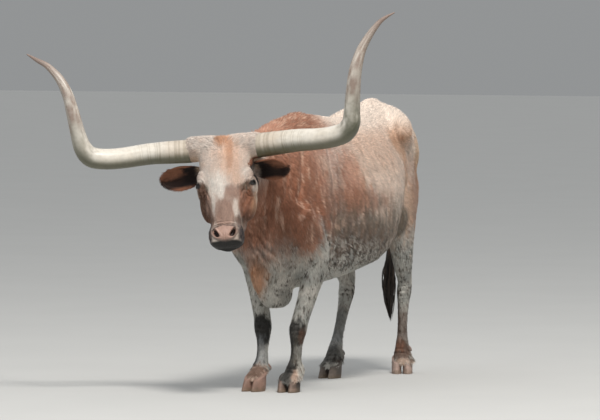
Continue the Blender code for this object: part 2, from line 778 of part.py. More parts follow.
def make_horn(side, sign):
    """A horn in two lengths, which starts at the haired knob of skull."""
    stations = horn_stations(side, sign)
    rings = tube_rings(stations, HORN_AHEAD, HORN_SIDES)
    points = [Vector(station[:3]) for station in stations]
    direction = run_directions(points)[HORN_SPLIT]
    base_rings = rings[: HORN_SPLIT + 1]
    tip_rings = [[point + direction * GAP for point in rings[HORN_SPLIT]]] + rings[HORN_SPLIT + 1 :]
    whole = loft("horn_base", base_rings)
    tip = loft("horn_" + side + "_tip", tip_rings)
    point, normal = horn_plane(sign)
    base = half_of(whole, "horn_" + side + "_base", point + normal * GAP / 2, normal)
    remove(whole)
    return [base, tip]


def horn_plane(sign):
    """Point and normal of the flat joint between skull and horn."""
    return on_crown(*HORN_LEVEL) + HORN_SIDE * sign * HORN_ROOT, HORN_SIDE * sign


def eye_axes(sign):
    """The way an eye looks, the run of its slit towards the muzzle, and the way across the slit."""
    look = (SIDE * sign * 0.90 + OUT * 0.40 + DOWN * 0.05).normalized()
    run = (OUT + DOWN * 0.9).normalized()
    run = (run - look * run.dot(look)).normalized()
    return look, run, look.cross(run) * sign


def make_eye(side, sign, head):
    """An eyeball in its socket, with raised lids round an almond opening."""
    place = on_head(sign * EYE_PLACE[0], EYE_PLACE[1], EYE_PLACE[2])
    look, run, across = eye_axes(sign)
    rim = []
    for i in range(LID_STEPS):
        angle = math.tau * i / LID_STEPS
        flat = run * LID_HALF_LENGTH * math.cos(angle) + across * LID_HALF_HEIGHT * math.sin(angle)
        centre = place + (look * EYE_RADIUS + flat).normalized() * (EYE_RADIUS + LID_THICKNESS * 0.4)
        rim.append(centre)
    lids = ring_tube("lids_" + side, rim, LID_THICKNESS)
    boolean(head, lids, "UNION")
    remove(lids)
    socket = mass("socket_" + side, place, (EYE_RADIUS + GAP,) * 3)
    opening = mass("opening_" + side, (0.0, 0.0, 0.0), (LID_HALF_LENGTH, LID_HALF_HEIGHT, EYE_RADIUS))
    axes = Matrix((run, across, look)).transposed().to_4x4()
    opening.data.transform(Matrix.Translation(place + look * EYE_RADIUS) @ axes)
    boolean(socket, opening, "UNION")
    boolean(head, socket, "DIFFERENCE")
    remove(socket)
    remove(opening)
    return mass("eye_" + side, place, (EYE_RADIUS,) * 3)


def ring_tube(name, centres, radius):
    """A closed round tube through a ring of points."""
    count = len(centres)
    middle = sum(centres, Vector()) / count
    bm = bmesh.new()
    loops = []
    for i, centre in enumerate(centres):
        ahead = (centres[(i + 1) % count] - centres[i - 1]).normalized()
        outward = (centre - middle - ahead * (centre - middle).dot(ahead)).normalized()
        lift = ahead.cross(outward)
        loops.append(
            [
                bm.verts.new(centre + outward * radius * math.cos(angle) + lift * radius * math.sin(angle))
                for angle in (math.tau * k / 6 for k in range(6))
            ]
        )
    for i in range(count):
        low = loops[i]
        high = loops[(i + 1) % count]
        for k in range(6):
            m = (k + 1) % 6
            bm.faces.new((low[k], low[m], high[m], high[k]))
    return object_from_bmesh(name, bm)


def make_ear(side, sign, head):
    """A leaf-shaped ear: a cupped shell that opens forward, with its root on the head."""
    root = on_crown(sign * EAR_ROOT[0], EAR_ROOT[1], EAR_ROOT[2])
    forward, lift, droop = EAR_AIM[side]
    along = (HORN_SIDE * sign + HORN_UP * lift + HORN_AHEAD * forward).normalized()
    opens = (HORN_AHEAD - HORN_UP * droop - HORN_SIDE * sign * 0.05).normalized()
    opens = (opens - along * opens.dot(along)).normalized()
    wide = along.cross(opens)
    rows = 10
    columns = 8
    bm = bmesh.new()
    grid = []
    for i in range(rows + 1):
        s = i / rows
        open_up = min(s / EAR_WIDEST, 1.0)
        round_off = max((s - EAR_WIDEST) / (1.0 - EAR_WIDEST), 0.0)
        half = EAR_HALF_WIDTH * (0.42 + 0.58 * math.sin(open_up * math.pi / 2)) * math.sqrt(1.02 - round_off**2.4)
        cup = EAR_CUP * (1.0 - 0.75 * s)
        row = []
        for j in range(columns + 1):
            t = 2 * j / columns - 1
            row.append(
                bm.verts.new(root + along * EAR_LENGTH * s + wide * half * t + opens * cup * (t * t - 1))
            )
        grid.append(row)
    for i in range(rows):
        for j in range(columns):
            bm.faces.new((grid[i][j], grid[i + 1][j], grid[i + 1][j + 1], grid[i][j + 1]))
    ear = object_from_bmesh("ear_" + side, bm)
    wall = ear.modifiers.new("wall", "SOLIDIFY")
    wall.thickness = EAR_WALL
    wall.offset = 0.0
    apply_modifiers(ear)
    trim_to(ear, head)
    return ear


def coronet_plane(leg):
    """Point and normal of the slanting line where hair ends and the claws begin."""
    x, y, turn = HOOF_PLACES[leg]
    toe = Vector((math.sin(math.radians(turn)), -math.cos(math.radians(turn)), 0.0))
    point = Vector((x, y, CORONET_Z)) - toe * 0.012
    normal = (Vector((0.0, 0.0, 1.0)) * math.cos(CORONET_SLOPE) + toe * math.sin(CORONET_SLOPE)).normalized()
    return point, normal


def make_claws(leg):
    """The two claws of one foot, cut at the coronet."""
    x, y, turn = HOOF_PLACES[leg]
    point, normal = coronet_plane(leg)
    toe = Vector((math.sin(math.radians(turn)), -math.cos(math.radians(turn)), 0.0))
    across = Vector((math.cos(math.radians(turn)), math.sin(math.radians(turn)), 0.0))
    claws = []
    for claw, sign in SIDES.items():
        rings = []
        for height, grow, back in CLAW_RINGS:
            ring = []
            for i in range(14):
                angle = math.tau * i / 14
                forward = math.cos(angle) * CLAW_HALF_LENGTH * grow
                sideways = math.sin(angle) * CLAW_HALF_WIDTH * (0.90 + 0.10 * grow)
                pinch = 1.0 - 0.28 * max(math.cos(angle), 0.0) ** 2
                offset = sign * (CLAW_HALF_WIDTH + CLEFT / 2) * (1.0 - 0.06 * math.cos(angle))
                ring.append(
                    Vector((x, y, height)) + toe * (forward - back) + across * (offset + sideways * pinch)
                )
            rings.append(ring)
        whole = loft("claw", rings)
        name = leg.replace("leg", "claw") + "_" + claw
        claws.append(half_of(whole, name, point - normal * GAP, -normal))
        remove(whole)
    return claws


def make_dewclaws(leg, flesh):
    """The two small horny knobs behind the fetlock."""
    x, y, z = LEGS[leg][10][:3]
    knobs = []
    for claw, sign in SIDES.items():
        stations = (
            (x + sign * 0.019, y + 0.020, z - 0.002, DEWCLAW_RADIUS, DEWCLAW_RADIUS),
            (x + sign * 0.021, y + 0.036, z - 0.010, DEWCLAW_RADIUS * 0.95, DEWCLAW_RADIUS * 0.9),
            (x + sign * 0.022, y + DEWCLAW_REACH, z - 0.022, DEWCLAW_RADIUS * 0.6, DEWCLAW_RADIUS * 0.55),
        )
        knob = limb(leg.replace("leg", "dewclaw") + "_" + claw, stations, steps=2, sides=10)
        trim_to(knob, flesh, 2 * GAP)
        knobs.append(knob)
    return knobs


# Tail centre line: (x, y, z, half side, half depth)
DOCK_STATIONS = (
    (0.000, 0.725, 1.240, 0.034, 0.034),
    (0.000, 0.780, 1.228, 0.031, 0.031),
    (-0.002, 0.822, 1.180, 0.028, 0.028),
    (-0.006, 0.842, 1.090, 0.024, 0.024),
    (-0.014, 0.852, 0.970, 0.020, 0.020),
    (-0.028, 0.862, 0.850, 0.017, 0.017),
    (-0.046, 0.872, 0.740, 0.015, 0.015),
    (-0.060, 0.880, 0.650, 0.014, 0.014),
)
SWITCH_STATIONS = (
    (-0.060, 0.880, 0.650, 0.014, 0.014),
    (-0.070, 0.884, 0.590, 0.019, 0.018),
    (-0.076, 0.884, 0.500, 0.021, 0.018),
    (-0.074, 0.880, 0.420, 0.014, 0.012),
    (-0.070, 0.877, 0.350, 0.005, 0.005),
)
DOCK_SPLIT = 8
# Locks of the switch: tiers from the top down, each (height of the roots, reach of the tips, number, root's
# distance from the middle, tips' distance from the middle)
LOCK_TIERS = (
    (0.615, 0.430, 7, 0.014, 0.040),
    (0.560, 0.340, 8, 0.016, 0.038),
    (0.500, 0.275, 7, 0.014, 0.028),
    (0.440, 0.232, 6, 0.010, 0.016),
)
LOCK_HALF_WIDTH = 0.0115
LOCK_HALF_THICKNESS = 0.0042
LOCK_SPANS = 4
LOCK_SEED = 11


def make_tail(torso):
    """The tail in two bare lengths and its switch of long hair."""
    run = smooth_run(DOCK_STATIONS, 3)
    rings = tube_rings(run, (1.0, 0.0, 0.0), TAIL_SIDES)
    ahead = run_directions([Vector(station[:3]) for station in run])
    upper = loft("tail_upper", rings[: DOCK_SPLIT + 1])
    middle_rings = rings[DOCK_SPLIT:]
    middle_rings[0] = [point + ahead[DOCK_SPLIT] * GAP for point in middle_rings[0]]
    middle = loft("tail_lower", middle_rings)
    core_rings = tube_rings(smooth_run(SWITCH_STATIONS, 2), (1.0, 0.0, 0.0), TAIL_SIDES)
    core_rings[0] = [point + ahead[-1] * GAP for point in rings[-1]]
    switch = loft("tail_switch", core_rings)
    join_all(switch, switch_locks())
    trim_to(upper, torso)
    return [upper, middle, switch]


def switch_middle(z):
    """The middle of the switch at a height, carried on past the end of its core."""
    run = smooth_run(SWITCH_STATIONS, 4)
    below = [station for station in run if station[2] >= z]
    low = below[-1]
    step = (low[2] - z) * 0.10
    return Vector((low[0] + step, low[1] - step * 0.5, z))


def switch_locks():
    """Flat tapered locks of long hair that bend and overlap down the switch."""
    draw = random.Random(LOCK_SEED)
    locks = []
    for tier, (root_z, tip_z, count, root_out, tip_out) in enumerate(LOCK_TIERS):
        for k in range(count):
            angle = math.tau * (k + 0.5 * (tier % 2) + draw.uniform(-0.18, 0.18)) / count
            drop = tip_z + draw.uniform(-0.012, 0.030)
            sway = draw.uniform(-0.25, 0.25)
            stations = []
            for i in range(LOCK_SPANS + 1):
                s = i / LOCK_SPANS
                z = root_z + (drop - root_z) * s
                out = root_out + (tip_out - root_out) * math.sin(min(s * 1.35, 1.0) * math.pi / 2)
                out *= 1.0 - 0.30 * max(s - 0.6, 0.0)
                heading = angle + sway * s
                spread = Vector((math.cos(heading), math.sin(heading), 0.0)) * out
                point = switch_middle(z) + spread
                taper = (0.75 + 0.5 * s) if s < 0.5 else 1.0 - 1.76 * (s - 0.5)
                stations.append((*point, LOCK_HALF_WIDTH * taper, LOCK_HALF_THICKNESS * (1.0 - 0.6 * s)))
            across = (-math.sin(angle), math.cos(angle), 0.0)
            locks.append(loft("lock", tube_rings(stations, across, 4)))
    return locks


def join_all(obj, pieces):
    """Unite closed meshes with an object in one Boolean and keep the largest body."""
    group = new_collection("joined")
    for piece in pieces:
        bpy.context.scene.collection.objects.unlink(piece)
        group.objects.link(piece)
    modifier = obj.modifiers.new("join", "BOOLEAN")
    modifier.operation = "UNION"
    modifier.solver = "EXACT"
    modifier.operand_type = "COLLECTION"
    modifier.collection = group
    apply_modifiers(obj)
    for piece in pieces:
        remove(piece)
    bpy.data.collections.remove(group)
    keep_largest(obj)


def cut_face(head):
    """Nostrils and the line of the mouth."""
    for side, sign in SIDES.items():
        nostril = head_mass(
            "nostril_" + side, (sign * 0.043, -0.012, 0.515), (0.0125, 0.022, 0.024), (0, sign * 26, 0)
        )
        boolean(head, nostril, "DIFFERENCE")
        remove(nostril)
    mouth = limb("mouth", mouth_stations(), steps=3, side_axis=OUT, sides=8)
    boolean(head, mouth, "DIFFERENCE")
    remove(mouth)


def mouth_stations():
    """A thin round groove that follows the muzzle from corner to corner."""
    marks = []
    for outward, out, down in (
        (-0.076, -0.108, 0.425),
        (-0.079, -0.107, 0.468),
        (-0.077, -0.102, 0.508),
        (-0.053, -0.094, 0.541),
        (-0.020, -0.088, 0.555),
        (0.020, -0.088, 0.555),
        (0.053, -0.094, 0.541),
        (0.077, -0.102, 0.508),
        (0.079, -0.107, 0.468),
        (0.076, -0.108, 0.425),
    ):
        marks.append((*on_head(outward, out, down), 0.0045, 0.0060))
    return marks


def part_body(body):
    """Part the fused body into torso, neck and limb lengths."""
    nodes = []
    for leg, (low, high, tilt) in LIMB_BLOCKS.items():
        limb_body = carve_out(body, leg, low, high, math.radians(tilt))
        foot_point, foot_normal = coronet_plane(leg)
        shank = half_of(limb_body, leg + "_whole", foot_point + foot_normal * GAP, foot_normal)
        remove(limb_body)
        joint, normal = MIDDLE_JOINTS[leg]
        nodes += part_at(shank, joint, normal, leg + "_upper", leg + "_lower")
    neck, torso = part_at(body, NECK_CUT_POINT, NECK_CUT_NORMAL, "neck_whole", "torso")
    neck_node = half_of(neck, "neck", HEAD_CUT_POINT - HEAD_CUT_NORMAL * GAP / 2, -HEAD_CUT_NORMAL)
    remove(neck)
    return nodes, neck_node, torso


def settle(nodes):
    """Stand the model on Z = 0 with the middle of its box over the origin."""
    corners = [vertex.co for obj in nodes for vertex in obj.data.vertices]
    low = Vector([min(corner[k] for corner in corners) for k in range(3)])
    high = Vector([max(corner[k] for corner in corners) for k in range(3)])
    shift = Vector((-(low.x + high.x) / 2, -(low.y + high.y) / 2, -low.z))
    for obj in nodes:
        obj.data.transform(Matrix.Translation(shift))


def finish_of(name):
    """The finish that a node takes, by the kind of part it is."""
    if name.startswith("horn"):
        return "horn"
    if name.startswith(("claw", "dewclaw")):
        return "hoof"
    if name.startswith("eye"):
        return "eye"
    if name.startswith("ear"):
        return "ear_hair"
    if name == "tail_switch":
        return "switch_hair"
    if name.startswith("leg"):
        return "coat_speckled"
    if name in ("head", "tail_upper", "tail_lower"):
        return "coat_cream"
    return "coat_roan"


def main():
    """Build every node, then sort and finish them."""
    clear_scene()
    parts = new_collection(COLLECTION_NAME)
    body = fuse("body", body_pieces(), BODY_VOXEL, BODY_SMOOTHING, BODY_TRIANGLES)
    limb_nodes, neck, torso = part_body(body)
    whole_head = fuse("head_whole", head_pieces(), HEAD_VOXEL, HEAD_SMOOTHING, HEAD_TRIANGLES)
    head = half_of(whole_head, "head", HEAD_CUT_POINT + HEAD_CUT_NORMAL * GAP / 2, HEAD_CUT_NORMAL)
    remove(whole_head)
    for sign in SIDES.values():
        point, normal = horn_plane(sign)
        longer = head
        head = half_of(longer, "head", point - normal * GAP / 2, -normal)
        remove(longer)
        head.name = "head"
    nodes = limb_nodes + [neck, torso, head]
    for side, sign in SIDES.items():
        nodes += make_horn(side, sign)
        nodes.append(make_ear(side, sign, head))
        nodes.append(make_eye(side, sign, head))
    cut_face(head)
    lower = {obj.name: obj for obj in limb_nodes}
    for leg in LEGS:
        nodes += make_claws(leg)
        nodes += make_dewclaws(leg, lower[leg + "_lower"])
    nodes += make_tail(torso)
    settle(nodes)
    materials = {name: new_material(name) for name in COLOURS}
    for obj in nodes:
        for owner in list(obj.users_collection):
            owner.objects.unlink(obj)
        parts.objects.link(obj)
        obj.data.materials.clear()
        obj.data.materials.append(materials[finish_of(obj.name)])
        obj.data.shade_smooth()


main()
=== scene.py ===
"""Finished surfaces of a life-size museum figure: a Texas Longhorn ox, standing in mid step.

The animal faces -Y, and its left side is +X. Its shapes are worked out in the animal's own frame, with the floor
at Z = 0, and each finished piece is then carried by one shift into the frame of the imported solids. Sizes are in
metres, apart from the tables that say millimetres, and colours are linear unless a name says otherwise.
"""

import logging
import math
import random
from collections.abc import Callable
from dataclasses import dataclass
from enum import Enum

import bmesh
import bpy
import numpy as np
from mathutils import Matrix, Vector
from mathutils.bvhtree import BVHTree


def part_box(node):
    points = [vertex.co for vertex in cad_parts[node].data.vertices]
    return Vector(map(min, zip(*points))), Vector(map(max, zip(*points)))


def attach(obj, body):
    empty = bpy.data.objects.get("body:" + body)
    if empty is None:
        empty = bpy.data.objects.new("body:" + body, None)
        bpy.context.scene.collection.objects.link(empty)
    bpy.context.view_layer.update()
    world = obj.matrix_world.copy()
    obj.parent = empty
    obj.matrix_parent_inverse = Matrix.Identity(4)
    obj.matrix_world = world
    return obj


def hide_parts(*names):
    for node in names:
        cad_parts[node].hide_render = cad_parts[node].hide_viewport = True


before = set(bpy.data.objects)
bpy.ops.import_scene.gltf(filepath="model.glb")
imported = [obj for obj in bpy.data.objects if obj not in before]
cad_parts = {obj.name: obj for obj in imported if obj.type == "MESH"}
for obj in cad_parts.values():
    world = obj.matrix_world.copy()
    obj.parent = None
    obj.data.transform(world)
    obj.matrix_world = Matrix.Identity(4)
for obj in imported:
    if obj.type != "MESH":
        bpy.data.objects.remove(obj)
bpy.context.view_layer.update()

LOG = logging.getLogger("longhorn")

Station = tuple[float, ...]
Ring = list[Vector]
Colour = tuple[float, float, float]


def metres(*rows: Station) -> tuple[Station, ...]:
    """Turn rows of millimetres into metres."""
    return tuple(tuple(value / 1000 for value in row) for row in rows)


SIDES = {"left": 1.0, "right": -1.0}

# Heights and widths of the trunk
WITHERS_Z = 1.335
BACK_Z = 1.305
CROUP_Z = 1.395
BELLY_Z = 0.545
BARREL_HALF = 0.29
SHOULDER_HALF = 0.215
HOOK_HALF = 0.235

# Head pose: the poll's place, the turn of the horns' line to the animal's left, the tilt, the face's lean from
# upright, and how much further the face is turned, about an axis that lies behind the poll
POLL = Vector((-0.078, -1.066, 1.252))
HEAD_YAW = math.radians(13.0)
HEAD_ROLL = math.radians(4.4)
FACE_LEAN = math.radians(25.0)
FACE_TURN = math.radians(5.0)
FACE_PIVOT = 0.100

# Horns: centre line as (outward, up, forward, radius) in millimetres, from the skull's middle at horn level
HORN_LEVEL = (0.0, -0.06, 0.045)
HORN_PATHS = {
    "left": metres(
        (95, 0, 0, 59), (190, 0, 6, 58), (355, 10, 40, 54), (472, 10, 73, 51), (555, 17, 100, 50),
        (614, 34, 122, 49), (651, 75, 144, 44), (663, 135, 157, 38), (679, 226, 173, 34.5), (702, 332, 182, 30),
        (744, 435, 172, 21.5), (823, 536, 154, 12), (897, 578, 137, 3),
    ),
    "right": metres(
        (95, 0, 0, 59), (189, -5, 6, 56), (348, -4, 38, 51.5), (487, -14, 78, 49.5), (569, -12, 105, 49.5),
        (627, 4, 128, 49), (657, 48, 150, 43), (672, 120, 166, 36.5), (685, 215, 180, 31.5),
        (703, 305, 182, 27), (738, 382, 174, 21.5), (795, 448, 160, 15), (850, 482, 148, 10),
        (900, 514, 136, 3),
    ),
}

HORN_ROOT = 0.176

# Eyes in head coordinates (outward, out of the face, down the face)
EYE_PLACE = (0.120, -0.050, 0.243)
EYE_RADIUS = 0.021
LID_HALF_LENGTH = 0.0190
LID_HALF_HEIGHT = 0.0090

# How far the bare skin round an eye may lie from its middle
EYE_REACH = 0.045

# Ears
EAR_ROOT = (0.108, -0.135, 0.140)
EAR_LENGTH = 0.212
EAR_HALF_WIDTH = 0.056
EAR_WIDEST = 0.58
EAR_CUP = 0.034
# How far each ear turns ahead and up from straight out, and how far its opening turns down
EAR_AIM = {"left": (0.38, 0.03, 0.60), "right": (0.14, -0.10, 0.22)}

# Claws
CLAW_HEIGHT = 0.11
CLAW_HALF_LENGTH = 0.054
CLAW_HALF_WIDTH = 0.0245
CLEFT = 0.007
# Slices of a claw from the sole up: (height, size, how far back the middle lies)
CLAW_RINGS = (
    (0.000, 0.96, 0.000),
    (0.006, 1.00, 0.002),
    (0.030, 0.93, 0.010),
    (0.060, 0.86, 0.019),
    (CLAW_HEIGHT, 0.74, 0.034),
)
CORONET_SLOPE = math.radians(24.0)
DEWCLAW_RADIUS = 0.014

# The trunk: (y, ridge z, keel z, half width, widest z, how straight the roof runs from ridge to widest)
TRUNK_SECTIONS = (
    (-0.86, 1.215, 0.640, 0.100, 0.93, 1.00),
    (-0.78, 1.255, 0.560, 0.145, 0.92, 1.00),
    (-0.66, 1.290, 0.500, SHOULDER_HALF - 0.030, 0.88, 1.05),
    (-0.52, 1.318, 0.490, SHOULDER_HALF - 0.005, 0.86, 1.15),
    (-0.36, WITHERS_Z, 0.490, SHOULDER_HALF + 0.010, 0.85, 1.20),
    (-0.20, 1.325, 0.500, BARREL_HALF - 0.035, 0.86, 1.10),
    (-0.04, 1.310, 0.520, BARREL_HALF - 0.008, 0.86, 1.02),
    (0.10, BACK_Z, BELLY_Z - 0.005, BARREL_HALF, 0.87, 1.00),
    (0.24, 1.315, 0.580, BARREL_HALF - 0.012, 0.90, 1.08),
    (0.36, 1.345, 0.640, BARREL_HALF - 0.050, 0.96, 1.18),
    (0.46, CROUP_Z - 0.008, 0.700, HOOK_HALF - 0.028, 1.06, 1.22),
    (0.56, 1.370, 0.740, HOOK_HALF - 0.050, 1.06, 1.20),
    (0.65, 1.315, 0.780, 0.158, 1.05, 1.12),
    (0.725, 1.255, 0.830, 0.118, 1.04, 1.02),
    (0.775, 1.190, 0.900, 0.065, 1.03, 1.00),
)

# Hip bone in millimetres: a bar from the sacrum out to the hook, and a ridge from the hook back to the pin
HIP_BAR = metres(
    (20, 490, 1325, 60, 40), (100, 475, 1302, 60, 38), (165, 452, 1268, 56, 38), (204, 436, 1236, 46, 38),
    (215, 432, 1195, 32, 34),
)
HIP_RIDGE = metres(
    (196, 440, 1225, 36, 40), (164, 540, 1175, 42, 56), (130, 650, 1140, 40, 56), (100, 735, 1118, 36, 46),
    (90, 768, 1100, 22, 28),
)

# The neck: (x, y, z, half width, half height) in millimetres, from inside the chest to inside the skull
NECK_STATIONS = metres(
    (0, -560, 990, 165, 290), (-5, -680, 1010, 140, 262), (-18, -790, 1035, 118, 225),
    (-36, -880, 1060, 105, 188), (-48, -960, 1085, 98, 150), (-50, -1020, 1110, 88, 115),
)

# The loose fold from throat to brisket: (z, front y, back y, half width, x of the front edge) in millimetres
DEWLAP_SLICES = metres(
    (960, -1010, -780, 50, -50), (870, -990, -720, 42, -48), (780, -955, -660, 40, -44),
    (690, -912, -600, 44, -38), (610, -870, -540, 55, -30), (530, -830, -500, 62, -22),
    (460, -790, -480, 58, -15), (415, -740, -510, 42, -8), (398, -690, -560, 22, 0),
)

# Leg joints: each list runs from inside the body to the coronet, as (x, y, z, half side, half depth) in
# millimetres
FORE_LEFT = metres(
    (150, -735, 860, 70, 95), (182, -640, 745, 66, 105), (190, -575, 640, 58, 88), (175, -592, 540, 50, 67),
    (155, -622, 430, 44, 53), (138, -648, 345, 43, 45), (131, -658, 300, 46, 46), (124, -654, 250, 36, 37),
    (118, -648, 195, 28, 33), (113, -645, 150, 31, 35), (109, -650, 118, 40, 42), (105, -668, 82, 39, 35),
    (102, -685, 50, 47, 43), (101, -693, 30, 47, 43),
)
FORE_RIGHT = metres(
    (-150, -720, 860, 70, 95), (-180, -620, 745, 66, 105), (-180, -520, 640, 58, 88), (-155, -525, 540, 50, 67),
    (-128, -545, 430, 44, 53), (-105, -562, 345, 43, 45), (-98, -570, 300, 46, 46), (-94, -576, 250, 36, 37),
    (-91, -588, 195, 28, 33), (-88, -600, 150, 31, 35), (-86, -614, 118, 40, 42), (-83, -648, 82, 39, 35),
    (-80, -682, 50, 47, 43), (-80, -698, 30, 47, 43),
)
HIND_LEFT = metres(
    (125, 530, 1060, 82, 135), (142, 528, 900, 76, 133), (153, 512, 760, 63, 114), (150, 532, 640, 52, 85),
    (142, 572, 540, 40, 62), (134, 608, 470, 34, 48), (128, 615, 420, 38, 48), (121, 622, 360, 32, 36),
    (112, 634, 280, 27, 31), (104, 646, 190, 28, 33), (101, 652, 130, 39, 41), (110, 640, 90, 39, 35),
    (117, 628, 55, 46, 43), (119, 622, 32, 46, 43),
)
HIND_RIGHT = metres(
    (-125, 530, 1060, 82, 135), (-150, 490, 900, 80, 140), (-165, 430, 760, 68, 125), (-160, 415, 640, 54, 92),
    (-145, 450, 540, 42, 66), (-125, 470, 475, 36, 52), (-118, 455, 425, 41, 52), (-112, 415, 360, 34, 38),
    (-106, 362, 280, 28, 32), (-100, 305, 190, 29, 34), (-96, 268, 130, 40, 42), (-93, 238, 90, 39, 35),
    (-91, 212, 55, 46, 42), (-90, 200, 32, 46, 42),
)
LEGS = {
    "leg_front_left": FORE_LEFT,
    "leg_front_right": FORE_RIGHT,
    "leg_hind_left": HIND_LEFT,
    "leg_hind_right": HIND_RIGHT,
}
# Centre of each pair of claws on the floor, and the way the toes point, in degrees from straight ahead
HOOF_PLACES = {
    "leg_front_left": (0.100, -0.705, 6.0),
    "leg_front_right": (-0.080, -0.722, -6.0),
    "leg_hind_left": (0.121, 0.606, 24.0),
    "leg_hind_right": (-0.090, 0.182, -4.0),
}
CORONET_Z = 0.064
# How far a foot reaches from the middle of its coronet
FOOT_REACH = 0.10

# Where head and body are fused
HEAD_CUT_POINT = Vector((0.0, -0.835, 1.27))
HEAD_CUT_NORMAL = Vector((0.0, -0.977, 0.214)).normalized()

# The skull and jaw: (down the face, half width, face surface, throat surface, squareness of the front corners)
HEAD_SECTIONS = (
    (-0.004, 0.072, -0.035, -0.095, 0.90),
    (0.014, 0.112, -0.012, -0.130, 0.75),
    (0.060, 0.130, 0.002, -0.165, 0.66),
    (0.120, 0.128, 0.010, -0.190, 0.66),
    (0.180, 0.124, 0.014, -0.210, 0.68),
    (0.230, 0.122, 0.014, -0.222, 0.70),
    (0.280, 0.112, 0.010, -0.220, 0.72),
    (0.325, 0.098, 0.006, -0.200, 0.74),
    (0.370, 0.083, 0.002, -0.168, 0.78),
    (0.415, 0.073, 0.000, -0.142, 0.80),
    (0.455, 0.076, 0.000, -0.132, 0.80),
    (0.492, 0.086, -0.004, -0.128, 0.78),
    (0.524, 0.085, -0.014, -0.124, 0.78),
    (0.548, 0.072, -0.030, -0.114, 0.82),
    (0.560, 0.046, -0.046, -0.098, 0.90),
)

# Tail centre line: (x, y, z, half side, half depth) in millimetres
DOCK_STATIONS = metres(
    (0, 725, 1240, 34, 34), (0, 780, 1228, 31, 31), (-2, 822, 1180, 28, 28), (-6, 842, 1090, 24, 24),
    (-14, 852, 970, 20, 20), (-28, 862, 850, 17, 17), (-46, 872, 740, 15, 15), (-60, 880, 650, 14, 14),
)
SWITCH_STATIONS = metres(
    (-60, 880, 650, 14, 14), (-70, 884, 590, 19, 18), (-76, 884, 500, 21, 18), (-74, 880, 420, 14, 12),
    (-70, 877, 350, 5, 5),
)

def head_axes(yaw: float) -> tuple[Vector, Vector, Vector, Vector, Vector]:
    """Give the directions of a head turned by an angle.

    Args:
        yaw: the turn to the animal's left, in radians.

    Returns:
        Unit vectors to its left, out of the face, down the face, up and ahead.
    """
    level_side = Vector((math.cos(yaw), math.sin(yaw), 0.0))
    ahead = Vector((math.sin(yaw), -math.cos(yaw), 0.0))
    side = level_side * math.cos(HEAD_ROLL) + Vector((0.0, 0.0, 1.0)) * math.sin(HEAD_ROLL)
    up = Vector((0.0, 0.0, 1.0)) * math.cos(HEAD_ROLL) - level_side * math.sin(HEAD_ROLL)
    down_face = ahead * math.sin(FACE_LEAN) - up * math.cos(FACE_LEAN)
    out_of_face = ahead * math.cos(FACE_LEAN) + up * math.sin(FACE_LEAN)
    return side, out_of_face, down_face, up, ahead


HORN_SIDE, HORN_OUT, HORN_DOWN, HORN_UP, HORN_AHEAD = head_axes(HEAD_YAW)
SIDE, OUT, DOWN = head_axes(HEAD_YAW + FACE_TURN)[:3]
FACE_TOP = POLL + (OUT - HORN_OUT) * FACE_PIVOT


def on_head(outward: float, out: float, down: float) -> Vector:
    """Give the point at the face's own coordinates, in the animal's frame."""
    return FACE_TOP + SIDE * outward + OUT * out + DOWN * down


def on_crown(outward: float, out: float, down: float) -> Vector:
    """Give a point told from the poll along the horns' own directions, in the animal's frame."""
    return POLL + HORN_SIDE * outward + HORN_OUT * out + HORN_DOWN * down


def face_places(points: np.ndarray) -> np.ndarray:
    """Turn points of the animal's frame into the face's own coordinates.

    Args:
        points: rows of x, y, z.

    Returns:
        Rows of outward, out of the face, down the face.
    """
    axes = np.array((SIDE, OUT, DOWN))
    return (points - np.array(FACE_TOP)) @ axes.T


def smooth_run(stations: tuple | list, steps: int) -> list[Station]:
    """Carry a Catmull-Rom curve through stations.

    Args:
        stations: tuples of numbers, all of one length.
        steps: how many spans lie between two stations.

    Returns:
        The stations of the curve, the given ones among them.
    """
    marks = np.array(stations, float)
    before = np.vstack([marks[:1], marks[:-1]])[:-1]
    after = np.vstack([marks[1:], marks[-1:]])[1:]
    here = marks[:-1]
    ahead = marks[1:]
    shares = np.arange(steps)[None, :, None] / steps
    spans = 0.5 * (
        2 * here[:, None]
        + (ahead - before)[:, None] * shares
        + (2 * before - 5 * here + 4 * ahead - after)[:, None] * shares**2
        + (3 * here - before - 3 * ahead + after)[:, None] * shares**3
    )
    run = spans.reshape(-1, marks.shape[1]).tolist()
    return [tuple(station) for station in run] + [tuple(marks[-1].tolist())]


def run_directions(points: Ring) -> Ring:
    """Give the unit direction of travel at each point of a run."""
    last = len(points) - 1
    return [(points[min(i + 1, last)] - points[max(i - 1, 0)]).normalized() for i in range(last + 1)]


def tube_rings(stations: list[Station], side_axis: Vector | Station, sides: int) -> list[Ring]:
    """Set rings round a run, square to it.

    Args:
        stations: (x, y, z, half side, half depth) along the run.
        side_axis: the direction that a ring's first radius leans to.
        sides: points in a ring.

    Returns:
        One ring of points for each station.
    """
    points = [Vector(station[:3]) for station in stations]
    rings = []
    for station, point, ahead in zip(stations, points, run_directions(points)):
        side = (Vector(side_axis) - ahead * ahead.dot(Vector(side_axis))).normalized()
        depth = ahead.cross(side)
        angles = [math.tau * i / sides for i in range(sides)]
        wide, deep = side * station[3], depth * station[4]
        rings.append([point + wide * math.cos(a) + deep * math.sin(a) for a in angles])
    return rings


def linked(name: str, data: bpy.types.ID) -> bpy.types.Object:
    """Make an object of a mesh, a lamp or a camera and link it to the scene."""
    obj = bpy.data.objects.new(name, data)
    bpy.context.scene.collection.objects.link(obj)
    return obj


def from_bmesh(name: str, bm: bmesh.types.BMesh) -> bpy.types.Object:
    """Turn a bmesh into a linked object whose faces point out."""
    bmesh.ops.recalc_face_normals(bm, faces=bm.faces)
    mesh = bpy.data.meshes.new(name)
    bm.to_mesh(mesh)
    bm.free()
    return linked(name, mesh)


